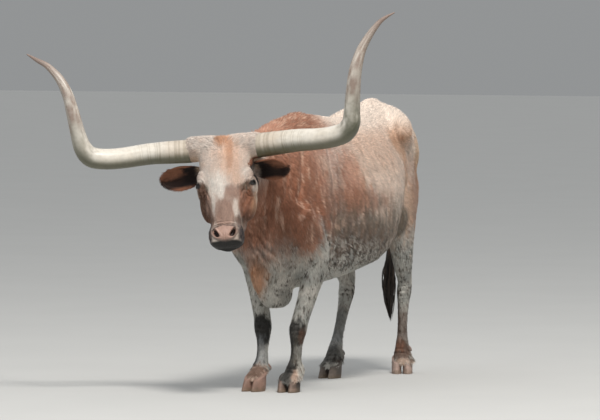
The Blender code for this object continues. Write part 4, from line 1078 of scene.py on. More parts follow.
# Marks of single legs, in the animal's frame and on one side only
SPOTTED = (0.012, 0.012, 0.022)
LEG_PATCHES = patches(
    ((0.121, -0.700, 0.290), (0.066, 0.050, 0.078), "BLACK", 0.92, 0.30, 0.45, SPOTTED, False),
    ((0.165, -0.668, 0.270), (0.020, 0.040, 0.040), "UMBER", 0.85, 0.40, 0.45, SPOTTED, False),
    ((0.098, -0.690, 0.180), (0.022, 0.050, 0.100), "BLACK", 0.75, 0.40, 0.50, SPOTTED, False),
    ((0.130, -0.700, 0.190), (0.026, 0.060, 0.070), "MOTTLE", 0.50, 0.50, 0.70, SPOTTED, False),
    ((0.095, -0.700, 0.095), (0.045, 0.070, 0.050), "BLACK", 0.85, 0.40, 0.45, SPOTTED, False),
    ((0.135, -0.720, 0.085), (0.018, 0.050, 0.040), "PINK_BUFF", 0.60, 0.50, 0.50, SPOTTED, False),
    ((-0.085, -0.612, 0.290), (0.066, 0.056, 0.082), "BLACK", 0.95, 0.28, 0.40, SPOTTED, False),
    ((-0.100, -0.630, 0.170), (0.050, 0.060, 0.085), "BLUE_GREY", 0.60, 0.40, 0.55, SPOTTED, False),
    ((-0.118, -0.628, 0.180), (0.022, 0.050, 0.095), "BLACK", 0.75, 0.40, 0.50, SPOTTED, False),
    ((-0.085, -0.680, 0.088), (0.055, 0.070, 0.040), "PINK_BUFF", 0.70, 0.40, 0.45, SPOTTED, False),
    ((-0.085, -0.690, 0.100), (0.050, 0.060, 0.040), "UMBER", 0.80, 0.45, 0.85, (0.010, 0.010, 0.014), False),
    ((0.088, 0.610, 0.340), (0.022, 0.070, 0.160), "BLACK", 0.85, 0.35, 0.45, SPOTTED, False),
    ((0.108, 0.630, 0.240), (0.045, 0.050, 0.110), "UMBER", 0.65, 0.50, 0.70, SPOTTED, False),
    ((0.108, 0.620, 0.118), (0.060, 0.065, 0.055), "UMBER", 0.90, 0.35, 0.40, SPOTTED, False),
    ((0.100, 0.590, 0.150), (0.040, 0.045, 0.040), "RED_BROWN", 0.40, 0.40, 0.60, SPOTTED, False),
    ((0.130, 0.600, 0.066), (0.040, 0.055, 0.014), "PINK_BUFF", 0.55, 0.50, 0.50, SPOTTED, False),
    ((-0.100, 0.300, 0.240), (0.050, 0.110, 0.110), "BLUE_GREY", 0.70, 0.50, 0.50, SPOTTED, False),
    ((-0.100, 0.330, 0.300), (0.040, 0.060, 0.090), "MOTTLE", 0.50, 0.50, 0.70, SPOTTED, False),
    ((-0.093, 0.235, 0.105), (0.055, 0.065, 0.060), "BLACK", 0.75, 0.40, 0.50, SPOTTED, False),
)
# Marks of the face, in the face's own coordinates
STREAKY = (0.008, 0.012, 0.034)
FACE_PATCHES = patches(
    ((-0.012, 0.00, 0.026), (0.026, 0.05, 0.040), "ORANGE", 0.85, 0.45, 0.45, STREAKY, False),
    ((0.016, 0.00, 0.080), (0.022, 0.05, 0.050), "ORANGE", 0.75, 0.45, 0.50, STREAKY, False),
    ((0.034, 0.01, 0.145), (0.046, 0.05, 0.080), "PINK_BUFF", 0.80, 0.50, 0.50, STREAKY, False),
    ((0.026, 0.01, 0.130), (0.016, 0.04, 0.060), "ORANGE", 0.45, 0.50, 0.60, STREAKY, False),
    ((0.062, 0.01, 0.235), (0.026, 0.05, 0.040), "PINK_BUFF", 0.70, 0.50, 0.50, STREAKY, False),
    ((-0.020, 0.01, 0.145), (0.040, 0.05, 0.075), "PINK_BUFF", 0.40, 0.50, 0.55, STREAKY, False),
    ((0.135, -0.10, 0.100), (0.060, 0.06, 0.042), "TAN", 0.70, 0.50, 0.45),
    ((0.150, -0.06, 0.070), (0.060, 0.05, 0.032), "BUFF", 0.45, 0.50, 0.45),
    ((0.122, -0.11, 0.150), (0.030, 0.04, 0.034), "UMBER", 0.35, 0.40, 0.45),
    ((0.120, -0.055, 0.205), (0.030, 0.05, 0.022), "MAUVE", 0.55, 0.50, 0.45),
    ((0.105, -0.022, 0.280), (0.030, 0.055, 0.032), "MOTTLE", 0.96, 0.25, 0.35, STREAKY),
    ((0.116, -0.040, 0.250), (0.024, 0.040, 0.020), "UMBER", 0.80, 0.35, 0.35, STREAKY),
    ((0.104, -0.020, 0.300), (0.026, 0.035, 0.012), "GREY", 0.60, 0.50, 0.40, STREAKY),
    ((0.108, -0.075, 0.355), (0.044, 0.080, 0.090), "RED_BROWN", 0.95, 0.28, 0.30, STREAKY),
    ((0.078, -0.005, 0.286), (0.016, 0.040, 0.030), "UMBER", 0.75, 0.45, 0.45, STREAKY, False),
    ((0.074, -0.010, 0.350), (0.013, 0.040, 0.060), "RED_BROWN", 0.75, 0.45, 0.50, STREAKY, False),
    ((0.090, -0.045, 0.385), (0.022, 0.040, 0.085), "UMBER", 0.55, 0.45, 0.50, STREAKY),
    ((0.100, -0.060, 0.335), (0.024, 0.050, 0.060), "DEEP_RED", 0.60, 0.45, 0.60, (0.006, 0.010, 0.030)),
    ((0.130, -0.130, 0.300), (0.020, 0.060, 0.090), "TAN", 0.35, 0.50, 0.40),
    ((0.060, -0.150, 0.400), (0.060, 0.070, 0.110), "UMBER", 0.80, 0.50, 0.40),
    # The right cheek's umber, down to the muzzle, is partly its own dark brown and partly painted shade, darker than
    # the left
    ((-0.110, -0.065, 0.345), (0.036, 0.080, 0.110), "UMBER", 0.95, 0.28, 0.35, STREAKY, False),
    ((-0.076, -0.030, 0.370), (0.026, 0.050, 0.080), "MAUVE", 0.75, 0.45, 0.50, STREAKY, False),
    ((-0.084, -0.040, 0.430), (0.022, 0.050, 0.050), "UMBER", 0.70, 0.45, 0.40, STREAKY, False),
    ((-0.030, 0.00, 0.262), (0.040, 0.05, 0.070), "WHITE", 0.75, 0.45, 0.50, STREAKY, False),
    ((0.040, 0.00, 0.294), (0.034, 0.05, 0.034), "MAUVE", 0.85, 0.35, 0.45, STREAKY, False),
    ((0.002, 0.00, 0.418), (0.042, 0.05, 0.084), "MAUVE", 0.95, 0.22, 0.25, STREAKY, False),
    ((-0.038, 0.00, 0.392), (0.024, 0.05, 0.070), "MAUVE", 0.80, 0.40, 0.50, STREAKY, False),
    ((0.020, 0.00, 0.335), (0.022, 0.04, 0.050), "MAUVE", 0.80, 0.35, 0.40, STREAKY, False),
    ((0.054, 0.00, 0.312), (0.014, 0.04, 0.028), "MAUVE", 0.80, 0.40, 0.40, STREAKY, False),
    ((0.050, -0.01, 0.372), (0.0070, 0.04, 0.034), "FACE_PALE", 0.85, 0.40, 0.55, STREAKY, False),
    ((0.062, -0.02, 0.425), (0.0050, 0.04, 0.040), "LILAC", 0.70, 0.45, 0.50, STREAKY, False),
    ((-0.054, -0.01, 0.345), (0.0080, 0.04, 0.050), "WHITE", 0.60, 0.45, 0.55, STREAKY, False),
    ((0.066, -0.020, 0.438), (0.024, 0.040, 0.026), "UMBER", 0.80, 0.40, 0.35, STREAKY),
    ((0.052, -0.005, 0.470), (0.022, 0.040, 0.012), "PAD_EDGE", 0.75, 0.40, 0.35),
    ((0.088, -0.045, 0.494), (0.030, 0.060, 0.054), "SLATE", 0.95, 0.22, 0.25),
)


def mix(colours: np.ndarray, weight: np.ndarray, hair: Hair | Colour) -> np.ndarray:
    """Blend one colour into the colours of many points by a weight for each."""
    target = np.array(hair.value if isinstance(hair, Hair) else hair)
    return colours + (target - colours) * weight[:, None]


def plain(count: int, hair: Hair | Colour) -> np.ndarray:
    """Give one colour for each of many points."""
    return np.tile(np.array(hair.value if isinstance(hair, Hair) else hair), (count, 1))


@dataclass(frozen=True)
class Markings:
    """The ox's coat colours as a function of place, with painted shade and light in places, used alike for skin and
    tufts.
    """

    seed: int = 5
    streak: Station = (0.009, 0.009, 0.045)
    speck: float = 0.0105

    def colours(self, points: np.ndarray) -> np.ndarray:
        """Give the hair colour at each point of head, body and legs.

        Args:
            points: rows of x, y, z in the animal's frame.

        Returns:
            Rows of linear red, green, blue.
        """
        on_face = (points - np.array(HEAD_CUT_POINT)) @ np.array(HEAD_CUT_NORMAL)
        off_chest = np.maximum(smooth_step(points[:, 2], 0.66, 0.74), smooth_step(points[:, 1], -1.00, -1.04))
        face_share = smooth_step(on_face, -0.03, 0.05) * off_chest
        colours = self.body(points)
        front = face_share > 0
        face = self.face(points[front])
        colours[front] += (face - colours[front]) * face_share[front, None]
        return np.clip(colours, 0.0, 1.0)

    def patched(self, colours: np.ndarray, points: np.ndarray, rows: tuple[Patch, ...], seed: int) -> np.ndarray:
        """Lay patches over the colours, one after another."""
        for number, patch in enumerate(rows):
            colours = mix(colours, patch.weight(points, self.seed + seed + number), Hair[patch.hair])
        return colours

    def body(self, points: np.ndarray) -> np.ndarray:
        """Give the colours of trunk, neck, legs and tail."""
        x, y, z = points.T
        streak = noise(points, self.streak, self.seed) - 0.5
        fine = noise(points, (0.005, 0.005, 0.020), self.seed + 1) - 0.5
        broad = layered_noise(points, 0.11, self.seed + 2) - 0.5
        mottle = layered_noise(points, (0.020, 0.020, 0.034), self.seed + 10) - 0.5
        colours = plain(len(points), Hair.CREAM)
        colours = mix(colours, np.clip(0.30 + 1.1 * broad + 0.9 * mottle + 0.4 * streak, 0, 0.85), Hair.PINK_BUFF)
        roan = smooth_step(y + 0.14 * broad + 0.20 * streak + 0.12 * mottle, -0.22, -0.46)
        roan = roan * smooth_step(z + 0.10 * broad + 0.10 * mottle, 0.64, 0.80)
        colours = mix(colours, roan * 0.92, Hair.RED_ROAN)
        colours = self.patched(colours, points, BODY_PATCHES, 40)
        drawn = noise(points, (0.014, 0.014, 0.062), self.seed + 12) - 0.5
        flecks = smooth_step(drawn + 0.5 * streak + 0.5 * mottle, 0.02, 0.56)
        colours = mix(colours, flecks * (0.18 + 0.46 * roan), Hair.PINK_BUFF)
        depths = smooth_step(-drawn - 0.4 * streak - 0.9 * mottle, 0.06, 0.56)
        colours = mix(colours, depths * (0.22 + 0.38 * roan), Hair.RED_BROWN)
        back = smooth_step(z + 0.06 * mottle, 1.20, 1.30) * smooth_step(y + 0.1 * mottle, -0.34, -0.10)
        colours = mix(colours, back * 0.75, Hair.CREAM)
        blaze = smooth_step(z, 1.22, 1.30) * smooth_step(y, -0.20, -0.30)
        colours = mix(colours, blaze * smooth_step(streak + 0.4 * mottle, 0.04, 0.26) * 0.75, Hair.PINK_BUFF)
        pale = self.under(points)
        elbow = smooth_step(np.abs(y + 0.57), 0.11, 0.03) * smooth_step(np.abs(x), 0.14, 0.20)
        low = smooth_step(z - 0.07 * elbow + 0.14 * broad + 0.20 * mottle, 0.78, 0.60)
        leg = np.maximum(smooth_step(z + 0.08 * broad, 0.62, 0.50), low)
        colours = colours + (pale - colours) * leg[:, None]
        colours = self.patched(colours, points, BELLY_PATCHES, 70)
        colours = self.patched(colours, points, LEG_PATCHES, 90)
        tail = smooth_step(y, 0.80, 0.83) * smooth_step(z, 0.60, 0.66)
        colours = mix(colours, tail * 0.55, Hair.BUFF)
        colours = mix(colours, tail * smooth_step(z, 0.90, 0.66), Hair.UMBER)
        return colours * (1.0 + 0.30 * fine + 0.34 * mottle + 0.12 * broad)[:, None]

    def under(self, points: np.ndarray) -> np.ndarray:
        """Give the speckled greyish white of belly and legs."""
        z = points[:, 2]
        broad = layered_noise(points, 0.07, self.seed + 3) - 0.5
        cells = noise(points, self.speck, self.seed + 4)
        small = noise(points, self.speck * 0.5, self.seed + 6)
        clumps = layered_noise(points, 0.030, self.seed + 11) - 0.5
        colours = plain(len(points), Hair.GREY)
        colours = mix(colours, np.clip(0.30 + 1.2 * broad, 0, 0.8), Hair.WHITE)
        colours = mix(colours, np.clip(0.14 - 1.2 * broad, 0, 0.6), Hair.BLUE_GREY)
        # Denser dark specks on the lower barrel: partly the belly's own spots, partly painted shade
        barrel = smooth_step(z, 0.52, 0.62) * smooth_step(points[:, 1], -0.62, -0.46)
        barrel = barrel * smooth_step(points[:, 1], 0.50, 0.34)
        dense = 0.04 + 0.06 * smooth_step(z, 0.60, 0.25) + 0.20 * barrel + 0.50 * clumps
        colours = mix(colours, smooth_step(cells + dense, 0.66, 0.90) * 0.78, Hair.MOTTLE)
        colours = mix(colours, smooth_step(cells + dense, 0.78, 0.98) * 0.70, Hair.BLACK)
        return mix(colours, smooth_step(small + dense, 0.66, 0.92) * 0.55, Hair.UMBER)

    def face(self, points: np.ndarray) -> np.ndarray:
        """Give the colours of the head."""
        places = face_places(points)
        across, out, down = places.T
        grain = noise(places, (0.004, 0.006, 0.016), self.seed + 7) - 0.5
        broad = layered_noise(places, 0.05, self.seed + 8) - 0.5
        colours = plain(len(points), Hair.FACE_PALE)
        colours = mix(colours, np.clip(0.12 + 1.1 * broad, 0, 0.55), Hair.PINK_BUFF)
        throat = smooth_step(out + 0.02 * broad, -0.12, -0.17) * smooth_step(down, 0.10, 0.22)
        colours = mix(colours, throat * 0.85, Hair.RED_BROWN)
        colours = self.patched(colours, places, FACE_PATCHES, 120)
        mottle = layered_noise(places, (0.008, 0.010, 0.016), self.seed + 9) - 0.5
        colours = mix(colours, smooth_step(grain + 0.8 * mottle, 0.08, 0.42) * 0.36, Hair.MAUVE)
        for sign in SIDES.values():
            _, run, across_slit = eye_axes(sign)
            offset = points - np.array(eye_place(sign))
            along = offset @ np.array(run)
            over = offset @ np.array(across_slit)
            ring = np.sqrt((along / 0.030) ** 2 + (over / 0.015) ** 2)
            near = smooth_step(np.linalg.norm(offset, axis=1), 0.060, 0.045)
            colours = mix(colours, smooth_step(ring + 0.5 * grain, 1.15, 0.75) * near * 0.80, Hair.BLACK)
        chin = smooth_step(down + 0.012 * broad, 0.470, 0.486) * smooth_step(out, -0.062, -0.076)
        lips = smooth_step(down + 0.010 * broad, 0.533, 0.542)
        colours = mix(colours, np.maximum(chin, lips), Hair.BLACK)
        narrow = 0.066 - 0.35 * np.maximum(down - 0.505, 0.0)
        hollowed = np.minimum(out + 0.050, 0) / 0.024
        pad = np.sqrt((across / narrow) ** 2 + ((down - 0.504) / 0.038) ** 2 + hollowed**2)
        rim = smooth_step(pad + 0.3 * broad, 1.16, 1.04)
        colours = mix(colours, rim * 0.85, Hair.PAD_EDGE)
        colours = mix(colours, smooth_step(pad + 0.3 * broad, 1.04, 0.84), Hair.PEACH)
        return colours * (1.0 + 0.26 * grain + 0.28 * mottle + 0.08 * broad)[:, None]


class Nodes:
    """A material's nodes, made and linked in few words."""

    def __init__(self, name: str) -> None:
        """Start a material with its shader and output."""
        self.material = bpy.data.materials.new(name)
        self.material.use_nodes = True
        self.tree = self.material.node_tree
        self.shader = self.tree.nodes["Principled BSDF"]

    def add(self, kind: str, **settings: object) -> bpy.types.Node:
        """Add a node and set its properties."""
        node = self.tree.nodes.new("ShaderNode" + kind)
        for key, value in settings.items():
            setattr(node, key, value)
        return node

    def link(self, source: bpy.types.NodeSocket, target: bpy.types.NodeSocket) -> None:
        """Link one socket to another."""
        self.tree.links.new(source, target)

    def feed(self, name: str, source: bpy.types.NodeSocket) -> None:
        """Link a socket to one of the shader's inputs."""
        self.link(source, self.shader.inputs[name])

    def set(self, name: str, value: float) -> None:
        """Set one of the shader's inputs."""
        self.shader.inputs[name].default_value = value

    def place(self) -> bpy.types.NodeSocket:
        """Give the object's own coordinates."""
        return self.add("TexCoord").outputs["Object"]

    def noise(self, scale: float, detail: float, vector: bpy.types.NodeSocket) -> bpy.types.NodeSocket:
        """Add a noise pattern and give its value."""
        node = self.add("TexNoise")
        node.inputs["Scale"].default_value = scale
        node.inputs["Detail"].default_value = detail
        self.link(vector, node.inputs["Vector"])
        return node.outputs["Fac"]

    def stretched(self, scale: Station) -> bpy.types.NodeSocket:
        """Give the object's coordinates scaled by three numbers."""
        node = self.add("Mapping")
        node.inputs["Scale"].default_value = scale
        self.link(self.place(), node.inputs["Vector"])
        return node.outputs["Vector"]

    def attribute(self, name: str) -> bpy.types.Node:
        """Read a mesh attribute."""
        return self.add("Attribute", attribute_name=name)

    def remap(self, value: bpy.types.NodeSocket, low: float, high: float) -> bpy.types.NodeSocket:
        """Carry a value from 0..1 to low..high."""
        node = self.add("MapRange")
        node.inputs["To Min"].default_value = low
        node.inputs["To Max"].default_value = high
        self.link(value, node.inputs["Value"])
        return node.outputs["Result"]

    def scaled_colour(self, colour: bpy.types.NodeSocket, value: bpy.types.NodeSocket) -> bpy.types.NodeSocket:
        """Multiply a colour by a value."""
        node = self.add("VectorMath", operation="SCALE")
        self.link(colour, node.inputs["Vector"])
        self.link(value, node.inputs["Scale"])
        return node.outputs["Vector"]

    def ramp(self, value: bpy.types.NodeSocket, stops: list[tuple[float, Colour]]) -> bpy.types.NodeSocket:
        """Turn a value into a colour by stops."""
        node = self.add("ValToRGB")
        elements = node.color_ramp.elements
        while len(elements) < len(stops):
            elements.new(0.5)
        for element, (position, colour) in zip(elements, stops):
            element.position = position
            element.color = (*colour, 1.0)
        self.link(value, node.inputs["Fac"])
        return node.outputs["Color"]

    def bump(self, heights: list[tuple[bpy.types.NodeSocket, float]], distance: float) -> None:
        """Add up heights by their strengths and give the shader the bump."""
        total = None
        for value, strength in heights:
            node = self.add("Math", operation="MULTIPLY")
            self.link(value, node.inputs[0])
            node.inputs[1].default_value = strength
            if total is None:
                total = node.outputs[0]
                continue
            both = self.add("Math", operation="ADD")
            self.link(total, both.inputs[0])
            self.link(node.outputs[0], both.inputs[1])
            total = both.outputs[0]
        bump = self.add("Bump")
        bump.inputs["Distance"].default_value = distance
        self.link(total, bump.inputs["Height"])
        self.feed("Normal", bump.outputs["Normal"])


@dataclass(frozen=True)
class CoatFinish:
    """Short hair: its colour comes from the markings, with fine variation, a soft sheen and a hairy bump."""

    name: str
    roughness: float = 0.72
    sheen: float = 0.06
    bump: float = 0.0016

    def material(self) -> bpy.types.Material:
        """Make the material."""
        nodes = Nodes(self.name)
        marking = nodes.attribute("marking")
        hairs = nodes.noise(1.0, 3.0, nodes.stretched((420.0, 420.0, 130.0)))
        colour = nodes.scaled_colour(marking.outputs["Color"], nodes.remap(hairs, 0.80, 1.20))
        nodes.feed("Base Color", colour)
        nodes.feed("Roughness", nodes.remap(hairs, self.roughness - 0.10, self.roughness + 0.10))
        nodes.set("Sheen Weight", self.sheen)
        nodes.set("Sheen Roughness", 0.5)
        nodes.set("Specular IOR Level", 0.32)
        nodes.bump([(hairs, 1.0), (nodes.noise(90.0, 4.0, nodes.place()), 0.6)], self.bump)
        return nodes.material


@dataclass(frozen=True)
class SkinFinish:
    """Skin under the hair, which turns to moist, pebbled leather where the mask says that it is bare."""

    name: str = "skin"
    bare_roughness: float = 0.42

    def material(self) -> bpy.types.Material:
        """Make the material."""
        nodes = Nodes(self.name)
        marking = nodes.attribute("marking")
        bare = nodes.attribute("bare").outputs["Fac"]
        hairs = nodes.noise(1.0, 3.0, nodes.stretched((420.0, 420.0, 130.0)))
        cells = nodes.add("TexVoronoi")
        cells.inputs["Scale"].default_value = 340.0
        nodes.link(nodes.place(), cells.inputs["Vector"])
        colour = nodes.scaled_colour(marking.outputs["Color"], nodes.remap(hairs, 0.82, 1.16))
        nodes.feed("Base Color", colour)
        haired = nodes.remap(bare, 0.78, self.bare_roughness)
        rough = nodes.add("Math", operation="ADD")
        nodes.link(haired, rough.inputs[0])
        nodes.link(nodes.remap(hairs, -0.06, 0.06), rough.inputs[1])
        nodes.feed("Roughness", rough.outputs[0])
        nodes.set("Specular IOR Level", 0.36)
        pebbles = nodes.add("Math", operation="MULTIPLY")
        nodes.link(cells.outputs["Distance"], pebbles.inputs[0])
        nodes.link(bare, pebbles.inputs[1])
        nodes.bump([(hairs, 0.4), (pebbles.outputs[0], 0.45), (nodes.noise(60.0, 4.0, nodes.place()), 0.6)], 0.0016)
        return nodes.material


@dataclass(frozen=True)
class HornFinish:
    """Horn: ivory with growth rings, weathered mottling, painted shade on its underside, and a colour that changes
    along its length.
    """

    name: str = "horn"
    roughness: float = 0.40

    def material(self) -> bpy.types.Material:
        """Make the material."""
        nodes = Nodes(self.name)
        tone = nodes.attribute("tone").outputs["Color"]
        grain = nodes.noise(1.0, 4.0, nodes.stretched((60.0, 60.0, 60.0)))
        fibres = nodes.noise(260.0, 3.0, nodes.place())
        colour = nodes.scaled_colour(tone, nodes.remap(grain, 0.82, 1.16))
        nodes.feed("Base Color", colour)
        nodes.feed("Roughness", nodes.remap(grain, self.roughness - 0.10, self.roughness + 0.16))
        nodes.set("Coat Weight", 0.08)
        nodes.set("Coat Roughness", 0.35)
        nodes.bump([(grain, 1.0), (fibres, 0.35)], 0.0009)
        return nodes.material


@dataclass(frozen=True)
class HoofFinish:
    """Hoof horn: matt, with fine upright fibres and dried dirt."""

    name: str = "hoof"
    roughness: float = 0.58

    def material(self) -> bpy.types.Material:
        """Make the material."""
        nodes = Nodes(self.name)
        tone = nodes.attribute("tone").outputs["Color"]
        fibres = nodes.noise(1.0, 4.0, nodes.stretched((260.0, 260.0, 30.0)))
        dirt = nodes.noise(38.0, 5.0, nodes.place())
        colour = nodes.scaled_colour(tone, nodes.remap(fibres, 0.74, 1.22))
        soiled = nodes.scaled_colour(colour, nodes.remap(dirt, 0.70, 1.18))
        nodes.feed("Base Color", soiled)
        nodes.feed("Roughness", nodes.remap(dirt, self.roughness - 0.12, self.roughness + 0.20))
        nodes.bump([(fibres, 1.0), (dirt, 0.8)], 0.0012)
        return nodes.material


@dataclass(frozen=True)
class EyeFinish:
    """A dark wet eye: brown iris fibres round a black slit, under a clear coat."""

    name: str = "eye"

    def material(self) -> bpy.types.Material:
        """Make the material."""
        nodes = Nodes(self.name)
        tone = nodes.attribute("tone").outputs["Color"]
        fibres = nodes.noise(420.0, 3.0, nodes.place())
        nodes.feed("Base Color", nodes.scaled_colour(tone, nodes.remap(fibres, 0.6, 1.5)))
        nodes.feed("Roughness", nodes.remap(fibres, 0.06, 0.12))
        nodes.set("Coat Weight", 1.0)
        nodes.set("Coat Roughness", 0.03)
        nodes.bump([(fibres, 1.0)], 0.0001)
        return nodes.material


@dataclass(frozen=True)
class FloorFinish:
    """A pale studio floor with a faint mottle."""

    name: str = "floor"
    colour: Colour = (0.50, 0.50, 0.485)

    def material(self) -> bpy.types.Material:
        """Make the material."""
        nodes = Nodes(self.name)
        mottle = nodes.noise(1.6, 4.0, nodes.place())
        pale = tuple(value * 1.03 for value in self.colour)
        nodes.feed("Base Color", nodes.ramp(mottle, [(0.30, self.colour), (0.70, pale)]))
        nodes.feed("Roughness", nodes.remap(mottle, 0.85, 0.95))
        return nodes.material


def paint(mesh: bpy.types.Mesh, name: str, colours: np.ndarray) -> None:
    """Store a colour for each point of a mesh."""
    layer = mesh.attributes.new(name, "FLOAT_COLOR", "POINT")
    rows = np.ones((len(colours), 4), np.float32)
    rows[:, :3] = colours
    layer.data.foreach_set("color", rows.ravel())


def store(mesh: bpy.types.Mesh, name: str, values: np.ndarray) -> None:
    """Store a number for each point of a mesh."""
    layer = mesh.attributes.new(name, "FLOAT", "POINT")
    layer.data.foreach_set("value", values.astype(np.float32))


def shift_to_frame() -> Vector:
    """Find how the animal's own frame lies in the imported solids' frame, from the left eye's box."""
    low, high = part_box("eye_left")
    return (low + high) / 2 - eye_place(1.0)


@dataclass
class Fitter:
    shift: Vector

    def fit(
        self, piece: bpy.types.Object, material: bpy.types.Material, nodes: tuple[str, ...] = ()
    ) -> None:
        """Move, dress and register a piece.

        Args:
            piece: a finished mesh in the animal's own frame.
            material: its material.
            nodes: the solids that it stands for.
        """
        piece.data.transform(Matrix.Translation(self.shift))
        piece.data.materials.clear()
        piece.data.materials.append(material)
        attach(piece, "root")
        if nodes:
            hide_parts(*nodes)
        piece.data.calc_loop_triangles()
        LOG.info("%s: %d triangles", piece.name, len(piece.data.loop_triangles))


@dataclass
class Ears:
    """Leaf-shaped ears: cupped shells with a thick rim and ridges inside, their roots sunk in the head."""

    rows: int = 44
    columns: int = 30
    wall: float = 0.0062
    ridge: float = 0.0016
    curl: float = 0.007
    edge: float = 0.0022
    taper: float = 0.75

    def frame_of(self, side: str, sign: float) -> tuple[Vector, Vector, Vector, Vector]:
        """Give an ear's root and the directions along it, out of its opening and across it."""
        root = on_crown(sign * EAR_ROOT[0], EAR_ROOT[1], EAR_ROOT[2])
        forward, lift, droop = EAR_AIM[side]
        along = (HORN_SIDE * sign + HORN_UP * lift + HORN_AHEAD * forward).normalized()
        opens = (HORN_AHEAD - HORN_UP * droop - HORN_SIDE * sign * 0.05).normalized()
        opens = (opens - along * opens.dot(along)).normalized()
        return root, along, opens, along.cross(opens)

    def build(self, side: str, sign: float) -> bpy.types.Object:
        """Model one ear as a grid with a wall."""
        root, along, opens, wide = self.frame_of(side, sign)
        bm = bmesh.new()
        grid = []
        for i in range(self.rows + 1):
            s = i / self.rows
            open_up = min(s / EAR_WIDEST, 1.0)
            round_off = max((s - EAR_WIDEST) / (1.0 - EAR_WIDEST), 0.0)
            half = EAR_HALF_WIDTH * (0.42 + 0.58 * math.sin(open_up * math.pi / 2))
            half *= math.sqrt(max(1.015 - round_off**1.75, 0.0))
            cup = EAR_CUP * (1.0 - self.taper * s)
            row = []
            for j in range(self.columns + 1):
                t = 2 * j / self.columns - 1
                ridges = self.ridge * math.cos(t * 11.0) * (1 - t * t) * min(s * 3, 1.0)
                curl = self.curl * max(abs(t) - 0.72, 0.0) / 0.28 * min(s * 2.5, 1.0)
                height = cup * (t * t - 1) + ridges + curl
                row.append(bm.verts.new(root + along * EAR_LENGTH * s + wide * half * t + opens * height))
            grid.append(row)
        for low, high in zip(grid, grid[1:]):
            for j in range(self.columns):
                bm.faces.new((low[j], high[j], high[j + 1], low[j + 1]))
        ear = from_bmesh("ear_skin_" + side, bm)
        wall = ear.modifiers.new("wall", "SOLIDIFY")
        wall.thickness = self.wall
        wall.offset = 0.0
        edge = ear.modifiers.new("edge", "BEVEL")
        edge.width = self.edge
        edge.segments = 2
        edge.limit_method = "ANGLE"
        edge.angle_limit = math.radians(50)
        apply_all(ear)
        return ear

    def colours(self, points: np.ndarray) -> tuple[np.ndarray, np.ndarray]:
        """Give the colours of ear points.

        Args:
            points: rows of x, y, z in the animal's frame.

        Returns:
            A colour for each point, and how much each point belongs to an ear.
        """
        colours = np.zeros((len(points), 3))
        share = np.zeros(len(points))
        grain = layered_noise(points, 0.016, 71) - 0.5
        for side, sign in SIDES.items():
            root, along, opens, wide = (np.array(value) for value in self.frame_of(side, sign))
            offset = points - root
            s = offset @ along / EAR_LENGTH
            t = offset @ wide / EAR_HALF_WIDTH
            height = offset @ opens
            cup = EAR_CUP * (1.0 - self.taper * np.clip(s, 0, 1)) * (np.clip(t, -1, 1) ** 2 - 1)
            inner = smooth_step(height - cup, 0.000, 0.0022) * smooth_step(np.abs(t), 0.92, 0.70)
            near = (s > 0.10) & (s < 1.08) & (np.abs(t) < 1.2) & (np.abs(height) < 0.06)
            tone = plain(len(points), Hair.RED_BROWN)
            tone = mix(tone, np.clip(0.5 + 1.4 * grain, 0, 1) * 0.5, Hair.DEEP_RED)
            # Painted shade inside the ear: the upper half of the lining and its deep part by the root are darkened,
            # over the lining's own dark hair
            upper = smooth_step(t * sign + 0.5 * grain, -0.25, 0.20)
            lining = mix(plain(len(points), Hair.RED_BROWN), upper * 0.96, Hair.EAR_DARK)
            lining = mix(lining, smooth_step(s + 0.3 * grain, 0.62, 0.40), Hair.EAR_DARK)
            tone = tone + (lining - tone) * inner[:, None]
            colours[near] = (tone * (1.0 + 0.3 * grain)[:, None])[near]
            share[near] = smooth_step(s, 0.10, 0.22)[near]
        return colours, share


